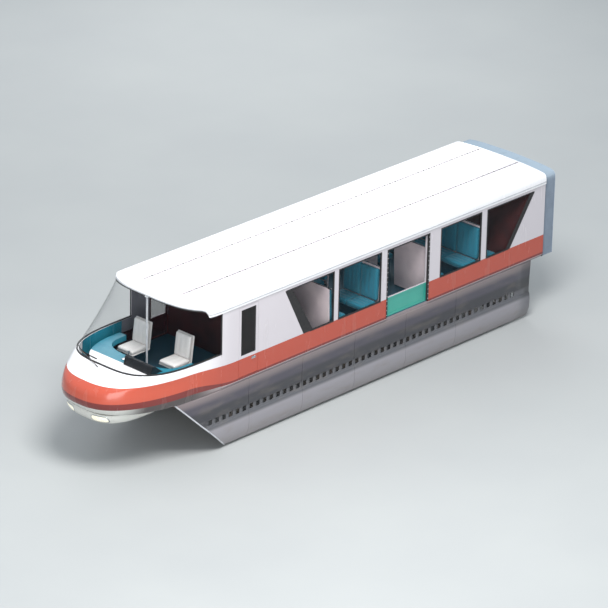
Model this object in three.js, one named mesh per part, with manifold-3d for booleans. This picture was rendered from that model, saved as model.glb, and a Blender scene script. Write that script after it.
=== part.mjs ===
// Lead car of a straddle-beam monorail train, in millimetres.
// +X is the nose, +Y the left side, +Z up. The origin is the middle of the
// bounding box's bottom face, so the floor that the car stands on is Z = 0.
import * as THREE from 'three'
import { mergeGeometries, mergeVertices } from 'three/addons/utils/BufferGeometryUtils.js'
import Module from 'manifold-3d'

const wasm = await Module()
wasm.setup()

// Lengthwise stations, measured forward from the body's rear end
const TOTAL_LENGTH = 13210
const BELLOWS_LENGTH = 350
const ORIGIN_STATION = TOTAL_LENGTH / 2 - BELLOWS_LENGTH
const NOSE_START = 10050
const NOSE_LENGTH = TOTAL_LENGTH - BELLOWS_LENGTH - NOSE_START
const GAP = 0.3
const at = station => station - ORIGIN_STATION

// Heights
const FLOOR_UNDER = 1400
const FLOOR_TOP = 1470
const SILL_Z = 1450
const STRIPE_TOP = 1920
const WINDOW_TOP = 3050
const WALL_TOP = 3130
const EAVE_Z = 3190
const CROWN_Z = 3425
const WINDSHIELD_BASE = 2200
const SKIRT_TOP = 1430
const SKIRT_BOTTOM = 30

// Widths, each measured from the car's middle plane
const WALL_OUT = 1340
const WALL_THICK = 30
const WALL_IN = WALL_OUT - WALL_THICK
const ROOF_OUT = 1360
const GLASS_THICK = 10
const GLASS_IN = WALL_IN - GAP - GLASS_THICK
const LEAF_OUT = 1294
const LEAF_THICK = 34
const BENCH_HALF = 1240
const AISLE_HALF = 260

// Doorways and the leaf of each passenger door
const DOORWAY = { rear: 3760, front: 5080 }
const LEAF = { rear: 3700, front: 5140, bottom: FLOOR_TOP + 6, top: 3100 }
const PILOT_DOORWAY = { rear: 8985, front: 9550, bottom: 1510, top: 3080 }
const PILOT_LEAF_GAP = 6

// The guide beam is 660 wide and its top lies 1080 above the floor
const BEAM_HALF = 330
const BEAM_TOP = 1080
const LOAD_RADIUS = 480
const AXLE_Z = BEAM_TOP + LOAD_RADIUS
const BOGIE_STATIONS = { rear: 750, front: 8390 }
const GUIDE_RADIUS = 220
const GUIDE_Y = BEAM_HALF + GUIDE_RADIUS
const GUIDE_X = 550
const GUIDE_Z = 850
const STABILISER_Z = 250
const SIDES = [{ name: 'left', sign: 1 }, { name: 'right', sign: -1 }]

// Solids: every shape passes through these few makers
function solid(geometry) {
  const bare = geometry.clone()
  bare.deleteAttribute('normal')
  bare.deleteAttribute('uv')
  const merged = mergeVertices(bare, 1e-3)
  const vertProperties = new Float32Array(merged.attributes.position.array)
  const triVerts = new Uint32Array(merged.index.array)
  return new wasm.Manifold(new wasm.Mesh({ numProp: 3, vertProperties, triVerts }))
}

function geometryOf(shape) {
  const mesh = shape.getMesh()
  const geometry = new THREE.BufferGeometry()
  geometry.setAttribute('position', new THREE.Float32BufferAttribute(mesh.vertProperties, 3))
  geometry.setIndex(new THREE.Uint32BufferAttribute(mesh.triVerts, 1))
  geometry.computeVertexNormals()
  return geometry
}

const join = (first, ...others) => others.reduce((sum, other) => sum.add(other), first)
const cut = (first, ...others) => others.reduce((rest, other) => rest.subtract(other), first)

function box(x0, x1, y0, y1, z0, z1) {
  const geometry = new THREE.BoxGeometry(x1 - x0, y1 - y0, z1 - z0)
  geometry.translate((x0 + x1) / 2, (y0 + y1) / 2, (z0 + z1) / 2)
  return solid(geometry)
}

// The pair of y values from inner to outer, on the side that sign gives
const onSide = (sign, inner, outer) => sign > 0 ? [inner, outer] : [-outer, -inner]

function outlineShape(points) {
  return new THREE.Shape(points.map(([a, b]) => new THREE.Vector2(a, b)))
}

function extruded(points, depth, matrix) {
  const shape = outlineShape(points)
  const geometry = new THREE.ExtrudeGeometry(shape, { depth, bevelEnabled: false })
  geometry.applyMatrix4(matrix)
  return solid(geometry)
}

// An outline of [y, z] points swept from x0 to x1
function alongX(points, x0, x1) {
  const turn = new THREE.Matrix4().makeBasis(
    new THREE.Vector3(0, 1, 0), new THREE.Vector3(0, 0, 1), new THREE.Vector3(1, 0, 0))
  return extruded(points, x1 - x0, turn.setPosition(x0, 0, 0))
}

// An outline of [x, z] points swept from y0 to y1
function alongY(points, y0, y1) {
  const turn = new THREE.Matrix4().makeBasis(
    new THREE.Vector3(1, 0, 0), new THREE.Vector3(0, 0, 1), new THREE.Vector3(0, -1, 0))
  return extruded(points, y1 - y0, turn.setPosition(0, y1, 0))
}

// An outline of [x, y] points swept from z0 to z1
function alongZ(points, z0, z1) {
  return extruded(points, z1 - z0, new THREE.Matrix4().makeTranslation(0, 0, z0))
}

// A profile of [radius, height] points turned about a line along Z or Y
function turned(profile, segments, axis, x, y, z) {
  const points = profile.map(([radius, height]) => new THREE.Vector2(radius, height))
  const geometry = new THREE.LatheGeometry(points, segments)
  if (axis === 'z') geometry.rotateX(Math.PI / 2)
  geometry.translate(x, y, z)
  return solid(geometry)
}

const rod = (radius, low, high, segments, axis, x, y, z) =>
  turned([[0, low], [radius, low], [radius, high], [0, high]], segments, axis, x, y, z)

// A body lofted through level sections {z, points}, all with as many points
function lofted(sections) {
  const count = sections[0].points.length
  const positions = sections.flatMap(s => s.points.flatMap(([x, y]) => [x, y, s.z]))
  const index = []
  for (let level = 0; level < sections.length - 1; level++) {
    for (let i = 0; i < count; i++) {
      const a = level * count + i
      const b = level * count + (i + 1) % count
      index.push(a, b, b + count, a, b + count, a + count)
    }
  }
  const last = (sections.length - 1) * count
  const capOf = section => THREE.ShapeUtils.triangulateShape(
    section.points.map(([x, y]) => new THREE.Vector2(x, y)), [])
  for (const [a, b, c] of capOf(sections[0])) index.push(a, c, b)
  for (const [a, b, c] of capOf(sections.at(-1))) index.push(last + a, last + b, last + c)
  const geometry = new THREE.BufferGeometry()
  geometry.setAttribute('position', new THREE.Float32BufferAttribute(positions, 3))
  geometry.setIndex(index)
  const made = new wasm.Manifold(new wasm.Mesh({
    numProp: 3,
    vertProperties: new Float32Array(positions),
    triVerts: new Uint32Array(index),
  }))
  return made
}

// The nose in plan is half of a superellipse ahead of NOSE_START
const NOSE_STEPS = 20
function noseCurve(start, length, halfWidth, power, steps = NOSE_STEPS) {
  const points = []
  for (let i = 0; i <= steps; i++) {
    const angle = -Math.PI / 2 + Math.PI * i / steps
    const x = Math.max(0, Math.cos(angle)) ** (2 / power)
    const y = Math.abs(Math.sin(angle)) ** (2 / power) * Math.sign(angle)
    points.push([at(start) + length * x, halfWidth * y])
  }
  return points
}

// A band along the nose's curve, as thick as the inner curve is set back
function noseBand(z, start, length, halfWidth, power, thick) {
  const outer = noseCurve(start, length, halfWidth, power)
  const inner = noseCurve(start, length - thick, halfWidth - Math.min(thick, 40), power)
  return { z, points: [...outer, ...inner.reverse()] }
}

const group = new THREE.Group()
const colours = {
  white: [0xf2f1ef, 0.35, 0.0],
  stripe: [0xe1644b, 0.4, 0.0],
  skirt: [0x6a6570, 0.5, 0.2],
  steel: [0x4a4c50, 0.55, 0.6],
  rubber: [0x1c1c1e, 0.9, 0.0],
  bellows: [0xa0afb9, 0.8, 0.0],
  glass: [0x9fb6ba, 0.05, 0.0],
  teal: [0x28808c, 0.85, 0.0],
  maroon: [0x3c2826, 0.7, 0.0],
  fairing: [0xd8dad6, 0.45, 0.0],
}

function place(name, shape, colour) {
  const [hex, roughness, metalness] = colours[colour]
  const material = new THREE.MeshStandardMaterial({ color: hex, roughness, metalness })
  const mesh = new THREE.Mesh(geometryOf(shape), material)
  mesh.name = name
  group.add(mesh)
}

// Side walls: each is one panel with its windows and two doorways cut
const WINDOWS = [
  // rear edge at the bottom and at the top, front edge at the bottom and at the top
  { rearLow: 1180, rearHigh: 410, frontLow: 1900, frontHigh: 1900 },
  { rearLow: 2100, rearHigh: 2100, frontLow: 3390, frontHigh: 3390 },
  { rearLow: 5280, rearHigh: 5280, frontLow: 6570, frontHigh: 6570 },
  { rearLow: 6730, rearHigh: 6730, frontLow: 7420, frontHigh: 8150 },
]

// A post inside the wall, just ahead of the pilot's doorway
const JAMB = { rear: 9556, front: 9616, inner: 1250 }

function sideWall(sign) {
  const yLow = sign > 0 ? WALL_IN : -WALL_OUT
  const yHigh = yLow + WALL_THICK
  const span = [yLow - 5, yHigh + 5]
  let wall = box(at(GAP), at(NOSE_START), yLow, yHigh, SILL_Z, WALL_TOP)
  for (const w of WINDOWS) {
    wall = wall.subtract(alongY([
      [at(w.rearLow), STRIPE_TOP], [at(w.frontLow), STRIPE_TOP],
      [at(w.frontHigh), WINDOW_TOP], [at(w.rearHigh), WINDOW_TOP]], ...span))
  }
  const doorway = box(at(DOORWAY.rear), at(DOORWAY.front), ...span, SILL_Z - 5, WINDOW_TOP)
  const pilot = box(at(PILOT_DOORWAY.rear), at(PILOT_DOORWAY.front), ...span,
    PILOT_DOORWAY.bottom, PILOT_DOORWAY.top)
  const jamb = box(at(JAMB.rear), at(JAMB.front), ...onSide(sign, JAMB.inner, WALL_IN + 10),
    FLOOR_TOP + GAP, WALL_TOP - 10)
  return cut(wall, doorway, pilot).add(jamb)
}

// Side glass lies flat behind the posts, one sheet on each side of the doorway
const GLASS_SHEETS = [
  { name: 'rear', low: 1000, high: 3640, slantLow: 1250, slantHigh: 480, slant: 'rear' },
  { name: 'front', low: 5200, high: 7300, slantLow: 7350, slantHigh: 8100, slant: 'front' },
]

function sideGlass(sheet, sign) {
  const y = sign > 0 ? GLASS_IN : -WALL_IN + GAP
  const low = STRIPE_TOP - 60
  const high = WINDOW_TOP + 50
  const points = sheet.slant === 'rear'
    ? [[at(sheet.slantLow), low], [at(sheet.high), low], [at(sheet.high), high], [at(sheet.slantHigh), high]]
    : [[at(sheet.low), low], [at(sheet.slantLow), low], [at(sheet.slantHigh), high], [at(sheet.low), high]]
  return alongY(points, y, y + GLASS_THICK)
}

// Roof: a crowned shell whose plan ends in the rounded visor over the windshield
const ROOF_LINE = [
  // half width, height
  [ROOF_OUT, EAVE_Z], [ROOF_OUT - 4, 3255], [ROOF_OUT - 24, 3318], [ROOF_OUT - 74, 3358],
  [1130, 3382], [780, 3407], [400, 3420], [0, CROWN_Z],
]
const ROOF_THICK = 55
const VISOR = { length: 880, power: 2.7 }
const ROOF_ENDS = [{ rear: 2 * GAP, front: 30 }, { rear: 8945, front: 8975 }]

function mirroredLine(half) {
  const back = half.slice(0, -1).reverse().map(([y, z]) => [-y, z])
  return [...half, ...back]
}

// The shell's outer and inner lines, each from the wall's top to the crown
function roofLines() {
  const outer = [[ROOF_OUT, WALL_TOP + GAP], ...ROOF_LINE]
  const inner = outer.map(([y, z], i) => i === 0 ? [y - 50, z] : [y * 0.965, z - ROOF_THICK])
  return { outer, inner }
}

// The shell, with a plate that closes it at the rear end and over the cab's bulkhead
function roof() {
  const { outer, inner } = roofLines()
  const outline = [...mirroredLine(outer), ...mirroredLine(inner).reverse()]
  const shell = alongX(outline, at(GAP), at(NOSE_START + VISOR.length + 10))
  const closing = inner.map(([y, z], i) => [y + 10, i === 0 ? z : z + 10])
  const plates = ROOF_ENDS.map(end => alongX(mirroredLine(closing), at(end.rear), at(end.front)))
  const plan = noseCurve(NOSE_START, VISOR.length, ROOF_OUT, VISOR.power)
  const rear = [[at(0), ROOF_OUT + 1], [at(0), -ROOF_OUT - 1]]
  return join(shell, ...plates).intersect(alongZ([...plan, ...rear], SILL_Z, CROWN_Z + 10))
}

// Nose cowl: {z, reach ahead of NOSE_START, half width, power of the curve, thickness}
const COWL_LEVELS = [
  { z: FLOOR_UNDER + 5, reach: NOSE_LENGTH - 150, half: 1306, power: 2.5, thick: 40 },
  { z: 1470, reach: NOSE_LENGTH - 75, half: 1328, power: 2.5, thick: 40 },
  { z: 1580, reach: NOSE_LENGTH - 12, half: 1338, power: 2.5, thick: 40 },
  { z: 1720, reach: NOSE_LENGTH, half: WALL_OUT, power: 2.5, thick: 40 },
  { z: 1930, reach: NOSE_LENGTH - 70, half: WALL_OUT, power: 2.5, thick: 45 },
  { z: 2070, reach: NOSE_LENGTH - 350, half: 1337, power: 2.9, thick: 90 },
  { z: WINDSHIELD_BASE, reach: NOSE_LENGTH - 665, half: 1332, power: 3.5, thick: 60 },
]

function noseCowl() {
  return lofted(COWL_LEVELS.map(l =>
    noseBand(l.z, NOSE_START + GAP, l.reach - GAP, l.half, l.power, l.thick)))
}

// Windshield: one wraparound sheet from the cowl's rim up to the roof's underside
const WINDSHIELD_LEVELS = [
  { z: WINDSHIELD_BASE + GAP, reach: NOSE_LENGTH - 680, half: 1327, power: 3.5 },
  { z: 2500, reach: 1790, half: 1329, power: 3.2 },
  { z: 2820, reach: 1440, half: 1330, power: 2.9 },
  { z: WALL_TOP, reach: 1110, half: 1330, power: 2.7 },
  { z: CROWN_Z, reach: 770, half: 1330, power: 2.7 },
]

function windshield() {
  const sheet = lofted(WINDSHIELD_LEVELS.map(l =>
    noseBand(l.z, NOSE_START + GAP, l.reach, l.half, l.power, 14)))
  const [eave, ...underside] = roofLines().inner
  const edge = [[eave[0] - GAP, WALL_TOP], ...underside.map(([y, z]) => [y - GAP, z - GAP])]
  const aboveEdge = [[2000, WALL_TOP], ...edge.slice(0, -1), [0, edge.at(-1)[1]]]
  const outline = [...mirroredLine(aboveEdge), [-2000, 4000], [2000, 4000]]
  return sheet.subtract(alongX(outline, at(NOSE_START - 10), at(NOSE_START + 1500)))
}

// Chin fairing: a bowl under the cowl, open behind, above the beam's top
const CHIN_REAR = 11470
const CHIN_LEVELS = [
  { z: 1150, reach: 1060, half: 700, power: 3.0 },
  { z: 1185, reach: 1160, half: 800, power: 3.0 },
  { z: 1290, reach: 1230, half: 880, power: 3.0 },
  { z: FLOOR_UNDER - GAP, reach: 1235, half: 920, power: 3.0 },
]
const CHIN_THICK = 25
const LAMP = { y: 430, z: 1288, halfLength: 110, radius: 68, proud: 8, depth: 70 }

// An upright outline of [y, z] points with round ends
function lampOutline(sign, radius) {
  const points = []
  for (let i = 0; i < 24; i++) {
    const angle = 2 * Math.PI * (i + 0.5) / 24
    const side = Math.sign(Math.cos(angle)) * LAMP.halfLength
    points.push([sign * LAMP.y + side + radius * Math.cos(angle), LAMP.z + radius * Math.sin(angle)])
  }
  return points
}

// The chin's own bowl, set back evenly from its outer face
function chinBowl(setBack) {
  return lofted(CHIN_LEVELS.map((l, i) => ({
    z: i === 0 ? l.z + setBack : (i === CHIN_LEVELS.length - 1 ? l.z + setBack / 5 : l.z),
    points: noseCurve(CHIN_REAR - setBack / 5, l.reach - setBack * 0.8, l.half - setBack, l.power),
  })))
}

function headlamp(sign) {
  const prism = alongX(lampOutline(sign, LAMP.radius), at(CHIN_REAR + 500), at(CHIN_REAR + 1400))
  return prism.intersect(chinBowl(-LAMP.proud)).subtract(chinBowl(LAMP.depth))
}

function chinFairing() {
  const sockets = SIDES.map(({ sign }) =>
    alongX(lampOutline(sign, LAMP.radius + GAP), at(CHIN_REAR + 500), at(CHIN_REAR + 1400)))
  return cut(chinBowl(0), chinBowl(CHIN_THICK), ...sockets)
}

// Floor: one deck under saloon and cab, open over the load wheels
const WHEEL_WELL = { halfLength: 620, halfWidth: 600 }

function floorDeck() {
  const half = WALL_IN - GAP
  const front = noseCurve(NOSE_START, NOSE_LENGTH - 240, half - 50, 2.3)
  const plan = [...front, [at(NOSE_START), half], [at(GAP), half], [at(GAP), -half], [at(NOSE_START), -half]]
  let deck = alongZ(plan, FLOOR_UNDER, FLOOR_TOP)
  for (const station of Object.values(BOGIE_STATIONS)) {
    deck = deck.subtract(box(at(Math.max(station - WHEEL_WELL.halfLength, 100)),
      at(station + WHEEL_WELL.halfLength), -WHEEL_WELL.halfWidth, WHEEL_WELL.halfWidth,
      FLOOR_UNDER - 5, FLOOR_TOP + 5))
  }
  return deck
}

// Underframe: two sills, cross-members, and brackets that carry the skirts
const SILL_BEAM = { inner: 960, outer: 1050, low: 1270, rear: 80, front: 11150 }
const CROSS_MEMBERS = [2250, 2800, 3300, 4420, 5540, 6100, 6650, 9700, 10300, 10900]
const SKIRT_BRACKETS = [2250, 3300, 4420, 5540, 6650, 9700]
const BRACKET = { inner: 960, thick: 24 }

function underframe() {
  const top = FLOOR_UNDER - GAP
  const pieces = []
  for (const { sign } of SIDES) {
    pieces.push(box(at(SILL_BEAM.rear), at(SILL_BEAM.front),
      ...onSide(sign, SILL_BEAM.inner, SILL_BEAM.outer), SILL_BEAM.low, top))
    for (const station of SKIRT_BRACKETS) {
      const plate = [[BRACKET.inner, top], [1265, top], [1250, 900], [1250, 760], [1266, 620], [1276, 300],
        [1220, 240], [1150, 700], [1050, 1200]].map(([y, z]) => [sign * y, z])
      const halfThick = BRACKET.thick / 2
      pieces.push(alongX(sign > 0 ? plate.reverse() : plate, at(station - halfThick), at(station + halfThick)))
    }
    pieces.push(box(at(9400), at(11150), ...onSide(sign, 300, 380), 1300, top))
  }
  for (const station of CROSS_MEMBERS) {
    pieces.push(box(at(station - 50), at(station + 50), -1000, 1000, 1300, top))
  }
  return join(...pieces)
}

// Skirts: a bowed panel each side that follows the nose and ends in a slant
const SKIRT_LEVELS = [
  // height, half width
  { z: SKIRT_BOTTOM, half: 1200 }, { z: 90, half: 1258 }, { z: 260, half: 1312 },
  { z: 470, half: 1326 }, { z: 610, half: 1312 }, { z: 650, half: 1292 },
  { z: 820, half: 1290 }, { z: SKIRT_TOP - 300, half: 1302 }, { z: SKIRT_TOP - 35, half: 1316 },
]
const SKIRT_THICK = 25
const SKIRT_REAR = 360
const LOUVRES = { first: 900, last: 10500, pitch: 200, width: 105, low: 670, high: 790 }

function skirt(sign) {
  const curve = (half, reach) => noseCurve(NOSE_START, reach, half, 2.3, 28)
    .filter(([, y]) => y > half * 0.5)
  const band = level => {
    const outer = curve(level.half, NOSE_LENGTH - 190)
    const inner = curve(level.half - SKIRT_THICK, NOSE_LENGTH - 190 - SKIRT_THICK)
    const points = [...outer, [at(SKIRT_REAR), level.half],
      [at(SKIRT_REAR), level.half - SKIRT_THICK], ...inner.reverse()]
    const sided = points.map(([x, y]) => [x, sign * y])
    return { z: level.z, points: sign > 0 ? sided : sided.reverse() }
  }
  const slant = alongY([
    [at(9680), SKIRT_BOTTOM - 20], [at(9850), 60], [at(9990), 180], [at(11330), SKIRT_TOP + 20],
    [at(12800), SKIRT_TOP + 20], [at(12800), SKIRT_BOTTOM - 20]], -1400, 1400)
  const slots = []
  for (let station = LOUVRES.first; station <= LOUVRES.last; station += LOUVRES.pitch) {
    slots.push(box(at(station - LOUVRES.width / 2), at(station + LOUVRES.width / 2),
      ...onSide(sign, 1100, 1400), LOUVRES.low, LOUVRES.high))
  }
  return cut(lofted(SKIRT_LEVELS.map(band)), slant, ...slots)
}

// Wheel housings: the slanted partitions at both ends of the saloon
const HOUSING_HALF = GLASS_IN - GAP
const HOUSING_WALL = 40
const HOUSING_TOP = WALL_TOP - 10

function wheelHousing(rearLow, rearHigh, frontHigh, frontLow) {
  const floor = FLOOR_TOP + GAP
  const outer = alongY([[at(rearLow), floor], [at(frontLow), floor],
    [at(frontHigh), HOUSING_TOP], [at(rearHigh), HOUSING_TOP]], -HOUSING_HALF, HOUSING_HALF)
  const lean = HOUSING_WALL * 1.2
  const inner = alongY([[at(rearLow + lean), floor - 5], [at(frontLow - lean), floor - 5],
    [at(frontHigh - lean), HOUSING_TOP - HOUSING_WALL], [at(rearHigh + lean), HOUSING_TOP - HOUSING_WALL]],
  -HOUSING_HALF - 5, HOUSING_HALF + 5)
  return outer.subtract(inner)
}

// Gangway bellows: a ring behind the body, its rear rim at the car's end
function bellows() {
  const outer = [[1312, 1385], [1312, 3200], [1290, 3275], [1240, 3322], [1100, 3352], [760, 3378], [0, 3398]]
  const inner = outer.map(([y, z], i) => [y * 0.955, i === 0 ? z + 60 : z - 60])
  return alongX(mirroredLine(outer), at(-BELLOWS_LENGTH), at(-GAP))
    .subtract(alongX(mirroredLine(inner), at(-BELLOWS_LENGTH - 5), at(5)))
}

// Drawbar: a bar from the end wall to the coupler plate at the bellows' rim
function drawbar() {
  const foot = box(at(-20), at(5 - GAP), -150, 150, 1480, 1620)
  const bar = box(at(-BELLOWS_LENGTH + 15), at(-10), -60, 60, 1510, 1590)
  const plate = box(at(-BELLOWS_LENGTH), at(-BELLOWS_LENGTH + 20), -120, 120, 1490, 1610)
  return join(foot, bar, plate)
}

// Equipment: one saddle-shaped block that hangs beside and over the beam
function equipment() {
  const outline = [[-900, 480], [-440, 480], [-440, 1150], [440, 1150], [440, 480], [900, 480],
    [900, 1299], [-900, 1299]]
  return alongX(outline, at(3400), at(6000))
}

// Seats
function bench(station, facing, yLow, yHigh) {
  const side = [[-60, 0], [360, 0], [380, 290], [470, 300], [460, 430], [60, 430], [-10, 1180], [-110, 1180]]
  const points = side.map(([x, z]) => [at(station) + facing * x, FLOOR_TOP + GAP + z])
  return alongY(facing > 0 ? points : points.reverse(), yLow, yHigh)
}

function cabSeat(station, y) {
  const floor = FLOOR_TOP + GAP
  const x = at(station)
  const foot = turned([[0, 0], [200, 0], [200, 25], [60, 50], [60, 380], [0, 380]], 20, 'z', x, y, floor)
  const pan = box(x - 240, x + 260, y - 240, y + 240, floor + 370, floor + 470)
  const back = alongY([[x - 240, floor + 370], [x - 140, floor + 370], [x - 230, floor + 980],
    [x - 330, floor + 980]], y - 230, y + 230)
  return join(foot, pan, back)
}

function console() {
  const low = 1930
  const high = 2050
  const outer = noseCurve(NOSE_START + 500, 1450, 1150, 2.6)
  const inner = noseCurve(NOSE_START + 500, 700, 950, 3.5)
  const shelf = alongZ([...outer, ...inner.reverse()], low, high)
  const legs = [-760, 760].map(y =>
    box(at(11150), at(11450), y - 200, y + 200, FLOOR_TOP + GAP, low + 10))
  return join(shelf, ...legs)
}

// Doors
function passengerLeaf(sign) {
  const y0 = sign > 0 ? LEAF_OUT - LEAF_THICK : -LEAF_OUT
  const span = [y0 - 5, y0 + LEAF_THICK + 5]
  const leaf = box(at(LEAF.rear), at(LEAF.front), y0, y0 + LEAF_THICK, LEAF.bottom, LEAF.top)
  const light = box(at(LEAF.rear + 110), at(LEAF.front - 110), ...span, STRIPE_TOP, LEAF.top - 90)
  const lower = box(at(LEAF.rear + 110), at(LEAF.front - 110), ...span, LEAF.bottom + 50, STRIPE_TOP - 50)
  return cut(leaf, light, lower)
}

function passengerPane(sign) {
  const y = sign * (LEAF_OUT - LEAF_THICK / 2)
  return box(at(LEAF.rear + 110 + GAP), at(LEAF.front - 110 - GAP), y - 4, y + 4,
    STRIPE_TOP + GAP, LEAF.top - 90 - GAP)
}

function passengerPanel(sign) {
  const y = sign * (LEAF_OUT - LEAF_THICK / 2)
  return box(at(LEAF.rear + 110 + GAP), at(LEAF.front - 110 - GAP), y - 6, y + 6,
    LEAF.bottom + 50 + GAP, STRIPE_TOP - 50 - GAP)
}

const PILOT_LEAF = {
  rear: PILOT_DOORWAY.rear + PILOT_LEAF_GAP, front: PILOT_DOORWAY.front - PILOT_LEAF_GAP,
  bottom: PILOT_DOORWAY.bottom + PILOT_LEAF_GAP, top: PILOT_DOORWAY.top - PILOT_LEAF_GAP,
}
const PILOT_LIGHT = { border: 60, bottom: 1980 }

function pilotLeaf(sign) {
  const y0 = sign > 0 ? WALL_IN : -WALL_OUT
  const leaf = box(at(PILOT_LEAF.rear), at(PILOT_LEAF.front), y0, y0 + WALL_THICK,
    PILOT_LEAF.bottom, PILOT_LEAF.top)
  const light = box(at(PILOT_LEAF.rear + PILOT_LIGHT.border), at(PILOT_LEAF.front - PILOT_LIGHT.border),
    y0 - 5, y0 + WALL_THICK + 5, PILOT_LIGHT.bottom, PILOT_LEAF.top - PILOT_LIGHT.border)
  return leaf.subtract(light)
}

function pilotPane(sign) {
  const y = sign * (WALL_IN + WALL_THICK / 2)
  return box(at(PILOT_LEAF.rear + PILOT_LIGHT.border + GAP), at(PILOT_LEAF.front - PILOT_LIGHT.border - GAP),
    y - 4, y + 4, PILOT_LIGHT.bottom + GAP, PILOT_LEAF.top - PILOT_LIGHT.border - GAP)
}

// Bogies: a frame astride the beam, a twin-tyred axle, guide and stabilising wheels
const SPINDLE_RADIUS = 30
const AXLE_RADIUS = 45

function bogieFrame(station, motorSide) {
  const x = at(station)
  const parts = []
  for (const end of [-1, 1]) {
    parts.push(box(x + (end > 0 ? 660 : -850), x + (end > 0 ? 850 : -660), -660, 660, 1140, 1360))
  }
  for (const { sign } of SIDES) {
    parts.push(box(x - 850, x + 850, ...onSide(sign, 420, 660), 1140, 1360))
    parts.push(box(x - 150, x + 150, ...onSide(sign, 640, 860), 1200, FLOOR_UNDER - 6))
    parts.push(box(x - 160, x + 160, ...onSide(sign, 800, 860), 0, 1370))
    parts.push(box(x - 200, x + 200, ...onSide(sign, 780, 900), 0, 20))
    parts.push(box(x - 80, x + 80, ...onSide(sign, 500, 830), 380, 460))
    parts.push(box(x - 100, x + 100, ...onSide(sign, 400, 460), 1350, AXLE_Z + 100))
    for (const end of [-1, 1]) {
      const near = x + end * 145
      const far = x + end * 400
      const gusset = [[near, 1141], [far, 1141], [near, 1000]]
      parts.push(alongY(end > 0 ? gusset : gusset.reverse(), ...onSide(sign, 640, 660)))
      parts.push(box(Math.min(near, far), Math.max(near, far), ...onSide(sign, 640, 660), 1140, 1170))
    }
    parts.push(rod(SPINDLE_RADIUS, 160, 400, 20, 'z', x, sign * GUIDE_Y, 0))
    parts.push(rod(55, 150, 170, 20, 'z', x, sign * GUIDE_Y, 0))
    for (const end of [-1, 1]) {
      parts.push(rod(SPINDLE_RADIUS, 760, 1150, 20, 'z', x + end * GUIDE_X, sign * GUIDE_Y, 0))
      parts.push(rod(55, 750, 770, 20, 'z', x + end * GUIDE_X, sign * GUIDE_Y, 0))
    }
  }
  const motorRear = motorSide > 0 ? x + 840 : x - 1230
  parts.push(box(motorRear, motorRear + 390, -260, 260, 1110, 1370))
  const bearing = rod(AXLE_RADIUS + 1, -500, 500, 24, 'y', x, 0, AXLE_Z)
  return join(...parts).subtract(bearing)
}

function loadAxle(station) {
  const profile = [[0, -470], [AXLE_RADIUS, -470], [AXLE_RADIUS, -210], [230, -210], [250, -300],
    [288, -300], [288, 300], [250, 300], [230, 210], [AXLE_RADIUS, 210], [AXLE_RADIUS, 470], [0, 470]]
  return turned(profile, 32, 'y', at(station), 0, AXLE_Z)
}

// Half a ring's section, from the bore outwards, mirrored and closed
function closedRing(half) {
  const other = half.map(([radius, height]) => [radius, -height])
  return [...other, ...half.slice().reverse(), other[0]]
}

function loadTyres(station) {
  const bead = 288 + GAP
  const half = [[bead, 300], [430, 305], [470, 285], [LOAD_RADIUS, 260], [LOAD_RADIUS, 60], [462, 28], [330, 18]]
  return turned(closedRing(half), 32, 'y', at(station), 0, AXLE_Z)
}

function guideWheel(x, y, z) {
  const half = [[SPINDLE_RADIUS + 1, 55], [165, 55], [200, 68], [GUIDE_RADIUS, 45]]
  return turned(closedRing(half), 20, 'z', x, y, z)
}

// Assembly
place('roof', roof(), 'white')
for (const { name, sign } of SIDES) {
  place(`side_wall_${name}`, sideWall(sign), 'white')
  for (const sheet of GLASS_SHEETS) {
    place(`side_glass_${name}_${sheet.name}`, sideGlass(sheet, sign), 'glass')
  }
  place(`skirt_${name}`, skirt(sign), 'skirt')
  place(`door_leaf_${name}`, passengerLeaf(sign), 'white')
  place(`door_pane_${name}`, passengerPane(sign), 'glass')
  place(`door_panel_${name}`, passengerPanel(sign), 'teal')
  place(`pilot_door_${name}`, pilotLeaf(sign), 'white')
  place(`pilot_pane_${name}`, pilotPane(sign), 'glass')
}
place('nose_cowl', noseCowl(), 'stripe')
place('windshield', windshield(), 'glass')
place('chin_fairing', chinFairing(), 'fairing')
for (const { name, sign } of SIDES) place(`headlamp_${name}`, headlamp(sign), 'fairing')
place('floor_deck', floorDeck(), 'steel')
place('underframe', underframe(), 'steel')
place('wheel_housing_rear', wheelHousing(5, 5, 440, 1440), 'maroon')
place('wheel_housing_front', wheelHousing(7240, 8190, 8980, 8980), 'maroon')
place('bellows', bellows(), 'bellows')
place('drawbar', drawbar(), 'steel')
place('equipment_block', equipment(), 'steel')
place('bench_a', bench(2060, 1, -BENCH_HALF, BENCH_HALF), 'teal')
place('bench_d', bench(6690, -1, -BENCH_HALF, BENCH_HALF), 'teal')
for (const { name, sign } of SIDES) {
  const span = onSide(sign, AISLE_HALF, BENCH_HALF)
  place(`bench_b_${name}`, bench(5260, 1, ...span), 'teal')
  place(`bench_c_${name}`, bench(3600, -1, ...span), 'teal')
}
place('pilot_seat', cabSeat(10500, 450), 'white')
place('second_seat', cabSeat(10640, -640), 'white')
place('console', console(), 'teal')
for (const [end, station] of Object.entries(BOGIE_STATIONS)) {
  place(`bogie_frame_${end}`, bogieFrame(station, end === 'rear' ? 1 : -1), 'steel')
  place(`load_axle_${end}`, loadAxle(station), 'steel')
  place(`load_tyres_${end}`, loadTyres(station), 'rubber')
  for (const { name, sign } of SIDES) {
    place(`guide_wheel_${end}_${name}_fore`, guideWheel(at(station) + GUIDE_X, sign * GUIDE_Y, GUIDE_Z), 'rubber')
    place(`guide_wheel_${end}_${name}_aft`, guideWheel(at(station) - GUIDE_X, sign * GUIDE_Y, GUIDE_Z), 'rubber')
    place(`stabiliser_${end}_${name}`, guideWheel(at(station), sign * GUIDE_Y, STABILISER_Z), 'rubber')
  }
}

export default group
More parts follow.
